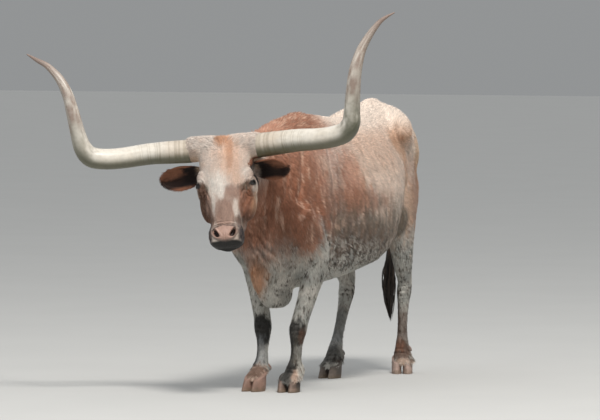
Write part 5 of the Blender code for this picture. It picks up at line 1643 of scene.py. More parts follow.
@dataclass
class Skin:
    """The one skin of head, neck, trunk, limbs and tail, with its folds, lids, nostrils and mouth."""

    markings: Markings
    ears: Ears
    voxel: float = 0.0050
    smoothing: int = 4
    body_voxel: float = 0.0090
    body_smoothing: int = 22
    head_voxel: float = 0.0055
    head_smoothing: int = 10
    budget: int = 190_000
    depth: float = 0.0024
    overlap: float = 0.010
    lid_radius: float = 0.0026
    lid_steps: int = 56
    lid_sides: int = 12
    mouth_width: float = 0.0042
    mouth_depth: float = 0.0080
    foot_height: float = 0.17
    foot_reach: float = 0.13
    rib_spacing: float = 0.062
    rib_relief: float = 0.0022
    loose_relief: float = 0.0075
    fine_relief: float = 0.0016
    nostril_half_length: float = 0.0250
    nostril_half_width: float = 0.0125
    nostril_depth: float = 0.0210
    nostril_rim: float = 0.0030
    lid_height: float = 0.0042
    eye_patch: float = 0.052
    nose_patch: float = 0.092

    def build(self) -> bpy.types.Object:
        """Model the whole skin, in the animal's frame."""
        skin = self.fused()
        self.cut_feet(skin)
        self.refine_head(skin)
        self.sculpt(skin)
        pieces = [skin]
        for side, sign in SIDES.items():
            pieces += [self.ears.build(side, sign), self.lids(side, sign)]
        skin = join("skin", pieces)
        self.thin(skin)
        self.dress(skin)
        return skin

    def fused(self) -> bpy.types.Object:
        """Fuse body, head and tail, cut where the horns begin."""
        flesh = Flesh()
        body = fuse("trunk_skin", flesh.body_pieces(), self.body_voxel, self.body_smoothing)
        keep_ahead(body, HEAD_CUT_POINT + HEAD_CUT_NORMAL * self.overlap, -HEAD_CUT_NORMAL)
        head = fuse("head_skin", flesh.head_pieces(), self.head_voxel, self.head_smoothing)
        keep_ahead(head, HEAD_CUT_POINT - HEAD_CUT_NORMAL * self.overlap, HEAD_CUT_NORMAL)
        for sign in SIDES.values():
            point, normal = horn_plane(sign)
            keep_ahead(head, point, -normal)
        tail = loft("tail_skin", tube_rings(smooth_run(DOCK_STATIONS, 6), (1.0, 0.0, 0.0), 24))
        return fuse("skin", [body, head, tail], self.voxel, self.smoothing)

    def at_foot(self, place: Vector, x: float, y: float) -> bool:
        """Tell whether a place belongs to the foot that stands at x, y."""
        return place.z < self.foot_height and math.hypot(place.x - x, place.y - y) < self.foot_reach

    def cut_feet(self, skin: bpy.types.Object) -> None:
        """End each leg at its coronet."""
        bm = bmesh.new()
        bm.from_mesh(skin.data)
        for leg, (x, y, _) in HOOF_PLACES.items():
            point, normal, _ = coronet_plane(leg)
            inside = {v for v in bm.verts if self.at_foot(v.co, x, y)}
            faces = [face for face in bm.faces if face.verts[0] in inside and face.verts[2] in inside]
            edges = {edge for face in faces for edge in face.edges}
            vertices = {vertex for face in faces for vertex in face.verts}
            geometry = list(vertices) + list(edges) + faces
            bmesh.ops.bisect_plane(bm, geom=geometry, plane_co=point, plane_no=normal)
            below = [v for v in bm.verts if self.at_foot(v.co, x, y) and (v.co - point).dot(normal) < -1e-6]
            bmesh.ops.delete(bm, geom=below, context="VERTS")
        close_rims(bm)
        bm.to_mesh(skin.data)
        bm.free()

    def refine_head(self, skin: bpy.types.Object) -> None:
        """Halve the mesh size over the face, and again round eyes, nostrils and mouth."""
        bm = bmesh.new()
        bm.from_mesh(skin.data)
        nose = on_head(0.0, -0.040, 0.510)
        fine = [(Vector(eye_place(sign)), self.eye_patch) for sign in SIDES.values()] + [(nose, self.nose_patch)]
        for level in range(2):
            edges = set()
            for face in bm.faces:
                place = face.calc_center_median()
                if place.y > -0.84 or place.z < 0.66:
                    continue
                close = any((place - spot).length < far for spot, far in fine)
                if close or (level == 0 and (place - HEAD_CUT_POINT).dot(HEAD_CUT_NORMAL) > 0.02):
                    edges.update(face.edges)
            bmesh.ops.subdivide_edges(bm, edges=list(edges), cuts=1, use_grid_fill=True)
        bmesh.ops.triangulate(bm, faces=[face for face in bm.faces if len(face.verts) > 4])
        bm.to_mesh(skin.data)
        bm.free()

    def sculpt(self, skin: bpy.types.Object) -> None:
        """Press folds, sockets, nostrils and mouth into the skin, then lay it in by the coat's depth."""
        places = vertex_places(skin.data)
        normals = vertex_normals(skin.data)
        push = np.zeros(len(places))
        for crease in (*creases(Ground.FACE, FACE_FOLDS), *body_creases()):
            for line in crease.lines():
                push -= self.groove(places, line, crease.width, crease.depth)
        push += self.broad_forms(places)
        face = face_places(places)
        mouth = np.array([on_head(*mark) for mark in smooth_run(MOUTH_LINE, 8)])
        push -= self.groove(places, mouth, self.mouth_width, self.mouth_depth)
        haired = 1.0 - self.bare_mask(places)
        places = self.coronets(places)
        places = places + normals * (push - self.depth * haired)[:, None]
        for sign in SIDES.values():
            places = self.nostril(places, face, sign)
            places = self.socket(places, sign)
        place_vertices(skin.data, places)

    def coronets(self, places: np.ndarray) -> np.ndarray:
        """Flare each pastern out to the width of its claws."""
        flared = places.copy()
        for leg, (x, y, turn) in HOOF_PLACES.items():
            point, normal, toe = (np.array(value) for value in coronet_plane(leg))
            across = np.array((math.cos(math.radians(turn)), math.sin(math.radians(turn)), 0.0))
            offset = places - np.array((x, y, 0.0))
            above = (places - point) @ normal
            foot = (np.hypot(offset[:, 0], offset[:, 1]) < FOOT_REACH) & (places[:, 2] < 0.16)
            share = smooth_step(above, 0.050, 0.004) * foot
            wide = offset @ across
            long = offset @ toe
            flared += across * (0.30 * share * wide)[:, None] + toe * (0.16 * share * (long + 0.015))[:, None]
        return flared

    def groove(self, places: np.ndarray, line: np.ndarray, width: float, depth: float) -> np.ndarray:
        """Give how deep a crease along a line lies at each point, with low lips beside it."""
        low = line.min(axis=0) - 0.06
        high = line.max(axis=0) + 0.06
        near = np.flatnonzero(((places > low) & (places < high)).all(axis=1))
        result = np.zeros(len(places))
        if len(near) == 0:
            return result
        here = places[near]
        guide = here[[int(np.argmin(((here - mark) ** 2).sum(axis=1))) for mark in line]]
        guide = 0.25 * np.vstack([guide[:1], guide[:-1]]) + 0.5 * guide + 0.25 * np.vstack([guide[1:], guide[-1:]])
        best = np.full(len(near), 1e9)
        share = np.zeros(len(near))
        for number, (start, end) in enumerate(zip(guide, guide[1:])):
            span = end - start
            length = max(float(span @ span), 1e-12)
            t = np.clip((here - start) @ span / length, 0.0, 1.0)
            distance = np.linalg.norm(here - start - t[:, None] * span, axis=1)
            closer = distance < best
            best[closer] = distance[closer]
            share[closer] = (number + t[closer]) / (len(guide) - 1)
        fade = smooth_step(share, 0.0, 0.18) * smooth_step(share, 1.0, 0.82)
        ends = np.where((share <= 0.0) | (share >= 1.0), 0.0, 1.0)
        trough = np.exp(-((best / width) ** 2))
        lips = 0.40 * np.exp(-(((best - 2.1 * width) / (0.9 * width)) ** 2))
        result[near] = depth * (trough - lips) * fade * ends
        return result

    def broad_forms(self, places: np.ndarray) -> np.ndarray:
        """Give the low relief of ribs, muscles and loose skin over trunk and neck."""
        x, y, z = places.T
        side = smooth_step(np.abs(x), 0.10, 0.20)
        ribs = np.sin((y * 0.96 + z * 0.22) * math.tau / self.rib_spacing)
        over = side * smooth_step(y, -0.34, -0.20) * smooth_step(y, 0.30, 0.16)
        over = over * smooth_step(z, 0.66, 0.78) * smooth_step(z, 1.20, 1.08)
        loose = layered_noise(places, (0.090, 0.060, 0.150), 31) - 0.5
        fine = layered_noise(places, 0.030, 32) - 0.5
        trunk = smooth_step(z, 0.45, 0.60) * smooth_step(y, -0.86, -0.78)
        return (
            self.rib_relief * ribs * over + self.loose_relief * loose * trunk + self.fine_relief * fine * trunk
        )

    def bare_mask(self, places: np.ndarray) -> np.ndarray:
        """Give 1 on the hairless nose, lips and lids, and 0 on haired skin."""
        across, out, down = face_places(places).T
        muzzle = (np.abs(across) < 0.11) & (down < 0.62) & (out > -0.16)
        hollowed = np.minimum(out + 0.050, 0) / 0.026
        pad = np.sqrt((across / 0.066) ** 2 + ((down - 0.508) / 0.038) ** 2 + hollowed**2)
        lips = smooth_step(down, 0.524, 0.536) * smooth_step(out, -0.118, -0.108)
        mask = np.maximum(smooth_step(pad, 1.06, 0.94), lips) * muzzle
        for sign in SIDES.values():
            mask = np.maximum(mask, eye_skin(places, sign, 1.55, 1.25))
        return mask

    def nostril(self, places: np.ndarray, face: np.ndarray, sign: float) -> np.ndarray:
        """Sink a comma-shaped nostril with a raised rim."""
        top = np.array((sign * 0.058 - 0.004, 0.0, 0.484))
        low = np.array((sign * 0.030 - 0.004, -0.014, 0.527))
        middle = (top + low) / 2
        along = (low - top) / np.linalg.norm(low - top)
        across = np.cross(along, (0.0, 1.0, 0.0))
        across = across / np.linalg.norm(across)
        offset = face - middle
        u = offset @ along / self.nostril_half_length
        v = (offset @ across) / self.nostril_half_width
        v = v - 0.45 * (u * u) * sign
        size = np.sqrt(u * u + v * v)
        front = face[:, 1] > -0.060
        deep = self.nostril_depth * np.sqrt(np.clip(1.0 - size**2, 0.0, 1.0)) * front
        rim = self.nostril_rim * np.exp(-(((size - 1.35) / 0.30) ** 2)) * front
        inward = np.array(-OUT - SIDE * sign * 0.25 + DOWN * -0.15)
        inward = inward / np.linalg.norm(inward)
        return places + inward * deep[:, None] + np.array(OUT) * rim[:, None]

    def socket(self, places: np.ndarray, sign: float) -> np.ndarray:
        """Shape the skin round an eyeball: lids that follow it, and the opening behind which it shows."""
        look, run, over = (np.array(axis) for axis in eye_axes(sign))
        centre = np.array(eye_place(sign))
        u, v, w, ring = round_eye(places, sign)
        near = (w > -0.012) & (np.linalg.norm(places - centre, axis=1) < 0.060)
        reach = EYE_RADIUS + self.lid_height
        on_lid = np.sqrt(np.clip(reach**2 - u * u - v * v, 0.0, None))
        lid = near & (ring >= 1.0) & (u * u + v * v < (0.96 * reach) ** 2)
        hold = smooth_step(ring, 2.6, 1.6)
        target = w + (on_lid - w) * hold
        w = np.where(lid, np.maximum(target, np.minimum(w, on_lid + 0.004)) * hold + w * (1 - hold), w)
        w = np.where(near & (ring < 1.0), np.minimum(w, 0.006 + 0.004 * ring), w)
        return centre + u[:, None] * run + v[:, None] * over + w[:, None] * look

    def lids(self, side: str, sign: float) -> bpy.types.Object:
        """Make the thick margins of upper and lower lid as a ring round the eye's opening."""
        look, run, over = eye_axes(sign)
        centre = eye_place(sign)
        marks = []
        for i in range(self.lid_steps):
            angle = math.tau * i / self.lid_steps
            corner = 1.0 + 0.10 * math.cos(angle) ** 6
            flat = run * LID_HALF_LENGTH * corner * math.cos(angle) + over * LID_HALF_HEIGHT * math.sin(angle)
            marks.append(centre + (look * EYE_RADIUS + flat).normalized() * (EYE_RADIUS + self.lid_radius * 0.45))
        bm = bmesh.new()
        loops = []
        for i, mark in enumerate(marks):
            ahead = (marks[(i + 1) % len(marks)] - marks[i - 1]).normalized()
            outward = (mark - centre).normalized()
            outward = (outward - ahead * outward.dot(ahead)).normalized()
            lift = ahead.cross(outward)
            angles = [math.tau * k / self.lid_sides for k in range(self.lid_sides)]
            ring = [
                mark + (outward * math.cos(a) + lift * math.sin(a) * 1.35) * self.lid_radius for a in angles
            ]
            loops.append([bm.verts.new(point) for point in ring])
        for low, high in zip(loops, loops[1:] + loops[:1]):
            bridge(bm, low, high)
        return from_bmesh("lids_" + side, bm)

    def thin(self, skin: bpy.types.Object) -> None:
        """Thin flat stretches until the skin is within its budget."""
        skin.data.calc_loop_triangles()
        thin = skin.modifiers.new("thin", "DECIMATE")
        thin.ratio = min(1.0, self.budget / len(skin.data.loop_triangles))
        apply_all(skin)

    def dress(self, skin: bpy.types.Object) -> None:
        """Colour the skin and mark what is bare."""
        places = vertex_places(skin.data)
        colours = self.markings.colours(places)
        ear_tones, ear_share = self.ears.colours(places)
        colours += (ear_tones - colours) * ear_share[:, None]
        bare = self.bare_mask(places) * (1 - ear_share)
        for sign in SIDES.values():
            face = face_places(places)
            # Painted shade inside each nostril: the sunk skin is darkened
            middle = np.array((sign * 0.044 - 0.004, -0.012, 0.5055))
            inside = np.linalg.norm((face - middle) / np.array((0.026, 0.022, 0.032)), axis=1)
            sunk = face[:, 1] < -0.016 - 0.10 * np.abs(face[:, 2] - 0.500)
            colours = mix(colours, smooth_step(inside, 1.0, 0.75) * sunk, Hair.EAR_DARK)
            colours = mix(colours, eye_skin(places, sign, 1.55, 1.25), Hair.BLACK)
        paint(skin.data, "marking", colours)
        store(skin.data, "bare", bare)
        skin.data.shade_smooth()


# The groove between the lips, from corner to corner, in the face's coordinates and in millimetres
MOUTH_LINE = metres(
    (-76, -108, 425), (-79, -107, 468), (-77, -102, 508), (-53, -94, 541), (-20, -88, 555), (20, -88, 555),
    (53, -94, 541), (77, -102, 508), (79, -107, 468), (76, -108, 425),
)


@dataclass
class Eyes:
    """Dark eyeballs with a level slit of a pupil, set deep behind the lids."""

    columns: int = 64
    rows: int = 48
    iris: Colour = (0.024, 0.013, 0.007)
    iris_edge: Colour = (0.0080, 0.0060, 0.0050)
    white: Colour = (0.120, 0.085, 0.070)
    pupil: Colour = (0.0015, 0.0016, 0.0020)
    pupil_size: tuple[float, float] = (0.42, 0.17)

    def build(self, side: str, sign: float) -> bpy.types.Object:
        """Model one eyeball."""
        bm = bmesh.new()
        bmesh.ops.create_uvsphere(bm, u_segments=self.columns, v_segments=self.rows, radius=EYE_RADIUS)
        look, run, over = eye_axes(sign)
        axes = Matrix((run, over, look)).transposed().to_4x4()
        bmesh.ops.transform(bm, matrix=Matrix.Translation(eye_place(sign)) @ axes, verts=bm.verts)
        eye = from_bmesh("eyeball_" + side, bm)
        places = (vertex_places(eye.data) - np.array(eye_place(sign))) / EYE_RADIUS
        along, across, ahead = np.array((run, over, look)) @ places.T
        from_middle = np.hypot(along, across) + (ahead < 0) * 2.0
        long, high = self.pupil_size
        from_pupil = np.sqrt((along / long) ** 2 + (across / high) ** 2) + (ahead < 0) * 9.0
        tone = plain(len(places), self.iris)
        tone = mix(tone, smooth_step(from_middle, 0.60, 0.74), self.iris_edge)
        tone = mix(tone, smooth_step(from_middle, 0.80, 0.90), self.white)
        tone = mix(tone, smooth_step(from_pupil, 1.12, 0.90), self.pupil)
        paint(eye.data, "tone", tone)
        eye.data.shade_smooth()
        return eye


@dataclass
class Horns:
    """Long horns that run out level, turn up at an elbow and end in points, with growth rings near the skull."""

    sides: int = 56
    span: float = 0.0034
    ring_height: float = 0.0009
    flute_height: float = 0.0008

    def stations(self, side: str, sign: float) -> np.ndarray:
        """Give centre line and radius every few millimetres."""
        centre = on_crown(*HORN_LEVEL)
        marks = []
        for outward, rise, forward, radius in HORN_PATHS[side]:
            point = centre + HORN_SIDE * sign * outward + HORN_UP * rise + HORN_AHEAD * forward
            marks.append((*point, radius))
        run = np.array(smooth_run(marks, 40))
        reach = np.concatenate([[0.0], np.cumsum(np.linalg.norm(np.diff(run[:, :3], axis=0), axis=1))])
        even = np.linspace(0.0, reach[-1], int(reach[-1] / self.span))
        return np.array([np.interp(even, reach, column) for column in run.T]).T

    def relief(self, s: np.ndarray, angle: np.ndarray, places: np.ndarray, side: str) -> np.ndarray:
        """Give how far the surface stands off the plain taper.

        Args:
            s: metres along the horn.
            angle: round the horn.
            places: the same points in space.
            side: which horn, as each has its own rings.

        Returns:
            A height for each point, in metres.
        """
        seed = 200 if side == "left" else 230
        here = np.stack([s, np.zeros_like(s), np.zeros_like(s)], axis=1)
        drift = 0.010 * noise(here, 0.050, seed) + 0.0010 * np.cos(angle * 2 + 3.0 * s)
        phase = (s + drift) / 0.0078
        shape = np.abs(np.sin(phase * math.pi)) ** 0.6 - 0.6
        strong = 0.35 + 0.95 * noise(here, 0.021, seed + 1)
        ringed = smooth_step(s, 0.56, 0.26)
        heavy = smooth_step(s, 0.125, 0.150) * smooth_step(s, 0.40, 0.18) * 0.0006
        waves = (noise(here, 0.030, seed + 4) - 0.5) * 2.0 * heavy
        flutes = layered_noise(np.stack([np.cos(angle), np.sin(angle), s * 0.9], axis=1), 0.22, seed + 2) - 0.5
        pits = layered_noise(places, 0.006, seed + 3) - 0.5
        scuffs = smooth_step(s, 0.40, 0.56) * smooth_step(s, 1.10, 0.80)
        return self.ring_height * shape * strong * ringed + waves + flutes * self.flute_height + pits * (
            0.0003 + 0.0006 * scuffs
        )

    def build(self, side: str, sign: float) -> bpy.types.Object:
        """Model one horn from the joint with the skull to its tip."""
        stations = self.stations(side, sign)
        rings = tube_rings([(*station[:3], 1.0, 1.0) for station in stations], HORN_AHEAD, self.sides)
        centres = stations[:, None, :3]
        spokes = np.array([[tuple(point) for point in ring] for ring in rings]) - centres
        s = np.repeat(np.arange(len(stations)) * self.span, self.sides)
        angle = np.tile(np.arange(self.sides) * math.tau / self.sides, len(stations))
        radius = np.repeat(stations[:, 3], self.sides)
        flat = spokes.reshape(-1, 3)
        places = (centres + spokes * stations[:, None, 3:4]).reshape(-1, 3)
        height = self.relief(s, angle, places, side) * np.clip(radius / 0.030, 0.0, 1.0)
        places = places + flat * height[:, None]
        bm = bmesh.new()
        grid = [
            [bm.verts.new(point) for point in places[i * self.sides : (i + 1) * self.sides]]
            for i in range(len(stations))
        ]
        for low, high in zip(grid, grid[1:]):
            bridge(bm, low, high)
        first = bm.verts.new(stations[0, :3])
        last = bm.verts.new(stations[-1, :3] + (stations[-1, :3] - stations[-2, :3]) * 0.8)
        for k in range(self.sides):
            m = (k + 1) % self.sides
            bm.faces.new((grid[0][m], grid[0][k], first))
            bm.faces.new((grid[-1][k], grid[-1][m], last))
        horn = from_bmesh("horn_whole_" + side, bm)
        point, normal = horn_plane(sign)
        keep_ahead(horn, point - normal * 0.012, normal)
        self.dress(horn, side, stations)
        return horn

    def dress(self, horn: bpy.types.Object, side: str, stations: np.ndarray) -> None:
        """Tint the horn along its length, and paint shade on its underside and at its elbow."""
        places = vertex_places(horn.data)
        centres = stations[:, :3]
        nearest = np.array([int(np.argmin(((centres - place) ** 2).sum(axis=1))) for place in places])
        s = nearest * self.span
        share = s / s.max()
        away = places - centres[nearest]
        away = away / np.maximum(np.linalg.norm(away, axis=1), 1e-9)[:, None]
        # The underside of the horn, where painted shade is laid
        under = smooth_step(away @ np.array(HORN_UP), 0.10, -0.62)
        broad = layered_noise(places, 0.060, 260) - 0.5
        fine = layered_noise(places, 0.012, 261) - 0.5
        rings = noise(np.stack([s + 0.004 * broad, s * 0, s * 0], axis=1), 0.0052, 262) - 0.5
        lengthwise = np.stack([away @ np.array(HORN_UP), away @ np.array(HORN_AHEAD), s * 4.0], axis=1)
        drawn = noise(lengthwise, 0.16, 263) - 0.5
        tone = plain(len(places), from_display(212, 206, 195))
        tone = mix(tone, np.clip(0.30 + 1.2 * broad + 0.5 * drawn, 0, 0.8), from_display(202, 192, 176))
        root = smooth_step(s, 0.46, 0.20)
        tone = mix(tone, smooth_step(s, 0.24, 0.16) * 0.40, from_display(176, 156, 132))
        # Growth-ring lines near the root, darker underneath with painted shade
        lines = smooth_step(rings + 0.22 * fine + 0.18 * drawn, -0.04, 0.30)
        tone = mix(tone, root * lines * (0.42 + 0.35 * under), from_display(118, 104, 84))
        # Painted shade: the underside is darkened to a grey-green
        tone = mix(tone, under * 0.92, from_display(84, 82, 60))
        # The elbow's dark is partly weathered colour and partly painted shade, heavier on the left horn and underneath
        heavy = 1.0 if side == "left" else 0.55
        bend = smooth_step(share, 0.42, 0.50) * smooth_step(share, 0.70, 0.58)
        shade = np.clip(0.42 + 0.45 * under + 1.0 * drawn + 0.8 * fine, 0.0, 1.0)
        tone = mix(tone, bend * shade * heavy, from_display(84, 84, 66))
        upper = smooth_step(share, 0.55, 0.66)
        tone = mix(tone, upper * np.clip(0.72 + 1.0 * drawn, 0, 0.95), from_display(152, 137, 127))
        scuffs = smooth_step(fine + 0.5 * drawn + 0.4 * broad, 0.02, 0.26)
        tone = mix(tone, upper * scuffs * 0.45, from_display(128, 106, 92))
        tip = smooth_step(share, 0.80, 0.97)
        tone = mix(tone, tip * 0.80, from_display(122, 100, 90))
        paint(horn.data, "tone", tone * (1.0 + 0.16 * fine + 0.14 * rings * root)[:, None])
        horn.data.shade_smooth()


@dataclass(frozen=True)
class HoofTint:
    """Colours of one foot's claws: the wall, its lit toe, and how strongly the dirt shows."""

    wall: Colour
    toe: Colour
    soil: float


HOOF_TINTS = {
    "leg_front_left": HoofTint(from_display(62, 52, 46), from_display(128, 106, 94), 0.60),
    "leg_front_right": HoofTint(from_display(150, 120, 106), from_display(122, 94, 80), 0.60),
    "leg_hind_left": HoofTint(from_display(150, 128, 118), from_display(168, 144, 132), 0.50),
    "leg_hind_right": HoofTint(from_display(78, 70, 64), from_display(110, 98, 88), 0.60),
}


@dataclass
class Hooves:
    """Cloven feet: two claws with fine level ridges, and two dewclaws behind the fetlock."""

    sides: int = 48
    ridge: float = 0.0004

    def claw(self, leg: str, sign: float) -> bpy.types.Object:
        """Model one claw up to the coronet."""
        x, y, turn = HOOF_PLACES[leg]
        point, normal, toe = coronet_plane(leg)
        across = Vector((math.cos(math.radians(turn)), math.sin(math.radians(turn)), 0.0))
        rings = []
        for height, grow, back in smooth_run(CLAW_RINGS, 9):
            grow *= 1.0 - 0.16 * min(max(height - 0.036, 0.0) / 0.04, 1.0)
            ring = []
            band = self.ridge * math.sin(height * math.tau / 0.0062) * min(height / 0.01, 1.0)
            for i in range(self.sides):
                angle = math.tau * i / self.sides
                forward = math.cos(angle) * (CLAW_HALF_LENGTH * grow + band)
                sideways = math.sin(angle) * (CLAW_HALF_WIDTH * (0.90 + 0.10 * grow) + band)
                pinch = 1.0 - 0.28 * max(math.cos(angle), 0.0) ** 2
                offset = sign * (CLAW_HALF_WIDTH + CLEFT / 2) * (1.0 - 0.06 * math.cos(angle))
                middle = Vector((x, y, max(height, 0.0)))
                ring.append(middle + toe * (forward - back) + across * (offset + sideways * pinch))
            rings.append(ring)
        claw = loft("claw_" + leg, rings)
        keep_ahead(claw, point + normal * 0.004, -normal)
        return claw

    def dewclaw(self, leg: str, sign: float) -> bpy.types.Object:
        """Model one small horny knob behind the fetlock."""
        x, y, z = LEGS[leg][10][:3]
        radius = DEWCLAW_RADIUS
        stations = (
            (x + sign * 0.019, y + 0.012, z + 0.004, radius * 0.8, radius * 0.8),
            (x + sign * 0.019, y + 0.020, z - 0.002, radius, radius),
            (x + sign * 0.021, y + 0.036, z - 0.010, radius * 0.95, radius * 0.9),
            (x + sign * 0.022, y + 0.049, z - 0.019, radius * 0.72, radius * 0.66),
            (x + sign * 0.022, y + 0.053, z - 0.022, radius * 0.40, radius * 0.36),
        )
        return limb("dewclaw_" + leg, stations, steps=5, sides=24)

    def build(self, leg: str) -> bpy.types.Object:
        """Model all horn of one foot."""
        pieces = []
        for sign in SIDES.values():
            pieces += [self.claw(leg, sign), self.dewclaw(leg, sign)]
        foot = join(leg.replace("leg", "hoof"), pieces)
        places = vertex_places(foot.data)
        x, y, _ = HOOF_PLACES[leg]
        toe = np.array(coronet_plane(leg)[2])
        tint = HOOF_TINTS[leg]
        ahead = (places - np.array((x, y, 0.0))) @ toe
        broad = layered_noise(places, (0.020, 0.020, 0.008), 301) - 0.5
        tone = plain(len(places), tint.wall)
        tone = mix(tone, smooth_step(ahead + 0.03 * broad, 0.0, 0.045), tint.toe)
        soil = smooth_step(places[:, 2] + 0.03 * broad, 0.030, 0.004)
        tone = mix(tone, soil * tint.soil, from_display(112, 96, 76))
        paint(foot.data, "tone", tone * (1.0 + 0.5 * broad)[:, None])
        foot.data.shade_smooth()
        return foot


@dataclass
class Switch:
    """The black brush of long hair at the tail's end, in many fine locks round a thin core."""

    count: int = 300
    spans: int = 8
    sides: int = 5
    seed: int = 11

    def middle(self, z: float) -> np.ndarray:
        """Give the middle of the brush at a height, carried on past the end of its core."""
        run = smooth_run(SWITCH_STATIONS, 4)
        low = [station for station in run if station[2] >= z][-1]
        step = (low[2] - z) * 0.10
        return np.array((low[0] + step, low[1] - step * 0.5, z))

    def outline(self, z: float) -> float:
        """Give how far the outer locks stand from the middle at a height."""
        heights = (0.232, 0.275, 0.340, 0.430, 0.500, 0.560, 0.640)
        reaches = (0.005, 0.014, 0.027, 0.038, 0.036, 0.026, 0.013)
        return float(np.interp(z, heights, reaches))

    def lock(self, draw: random.Random, number: int) -> bpy.types.Object:
        """Model one tapered lock."""
        share = number / self.count
        root = 0.635 - 0.225 * share + draw.uniform(-0.01, 0.01)
        tip = max(root - draw.uniform(0.13, 0.25), 0.236 + draw.uniform(0.0, 0.05))
        heading = draw.uniform(0.0, math.tau)
        depth = draw.uniform(0.30, 1.0) ** 0.6
        sway = draw.uniform(-0.5, 0.5)
        half = draw.uniform(0.0016, 0.0030)
        stations = []
        for i in range(self.spans + 1):
            s = i / self.spans
            z = root + (tip - root) * s
            out = self.outline(z) * depth * (0.45 + 0.55 * min(s * 2.5, 1.0))
            out = out * (1.0 - 0.22 * max(s - 0.7, 0.0) / 0.3)
            turn = heading + sway * s
            point = self.middle(z) + np.array((math.cos(turn), math.sin(turn), 0.0)) * out
            taper = min(0.55 + 1.2 * s, 1.0) * math.sqrt(max(1.0 - s**2.2, 0.006))
            stations.append((*point, half * taper, half * 0.5 * taper))
        across = (-math.sin(heading), math.cos(heading), 0.0)
        return loft("lock", tube_rings(stations, across, self.sides))

    def build(self) -> bpy.types.Object:
        """Model the brush."""
        draw = random.Random(self.seed)
        pieces = [limb("switch_core", SWITCH_STATIONS, steps=5, sides=20)]
        pieces += [self.lock(draw, number) for number in range(self.count)]
        brush = join("switch_hair", pieces)
        places = vertex_places(brush.data)
        grain = noise(places, (0.0045, 0.0045, 0.050), 320) - 0.5
        tone = plain(len(places), from_display(44, 37, 32))
        tone = mix(tone, smooth_step(grain, 0.10, 0.35) * 0.6, from_display(92, 70, 54))
        tone = mix(tone, smooth_step(places[:, 2], 0.60, 0.66) * 0.7, Hair.UMBER)
        paint(brush.data, "marking", tone)
        brush.data.shade_smooth()
        return brush


@dataclass(frozen=True)
class Growth:
    """How the short coat grows at many points at once: number to the area, size and lie of its tufts."""

    density: np.ndarray
    length: np.ndarray
    width: np.ndarray
    lift: np.ndarray
    lie: np.ndarray


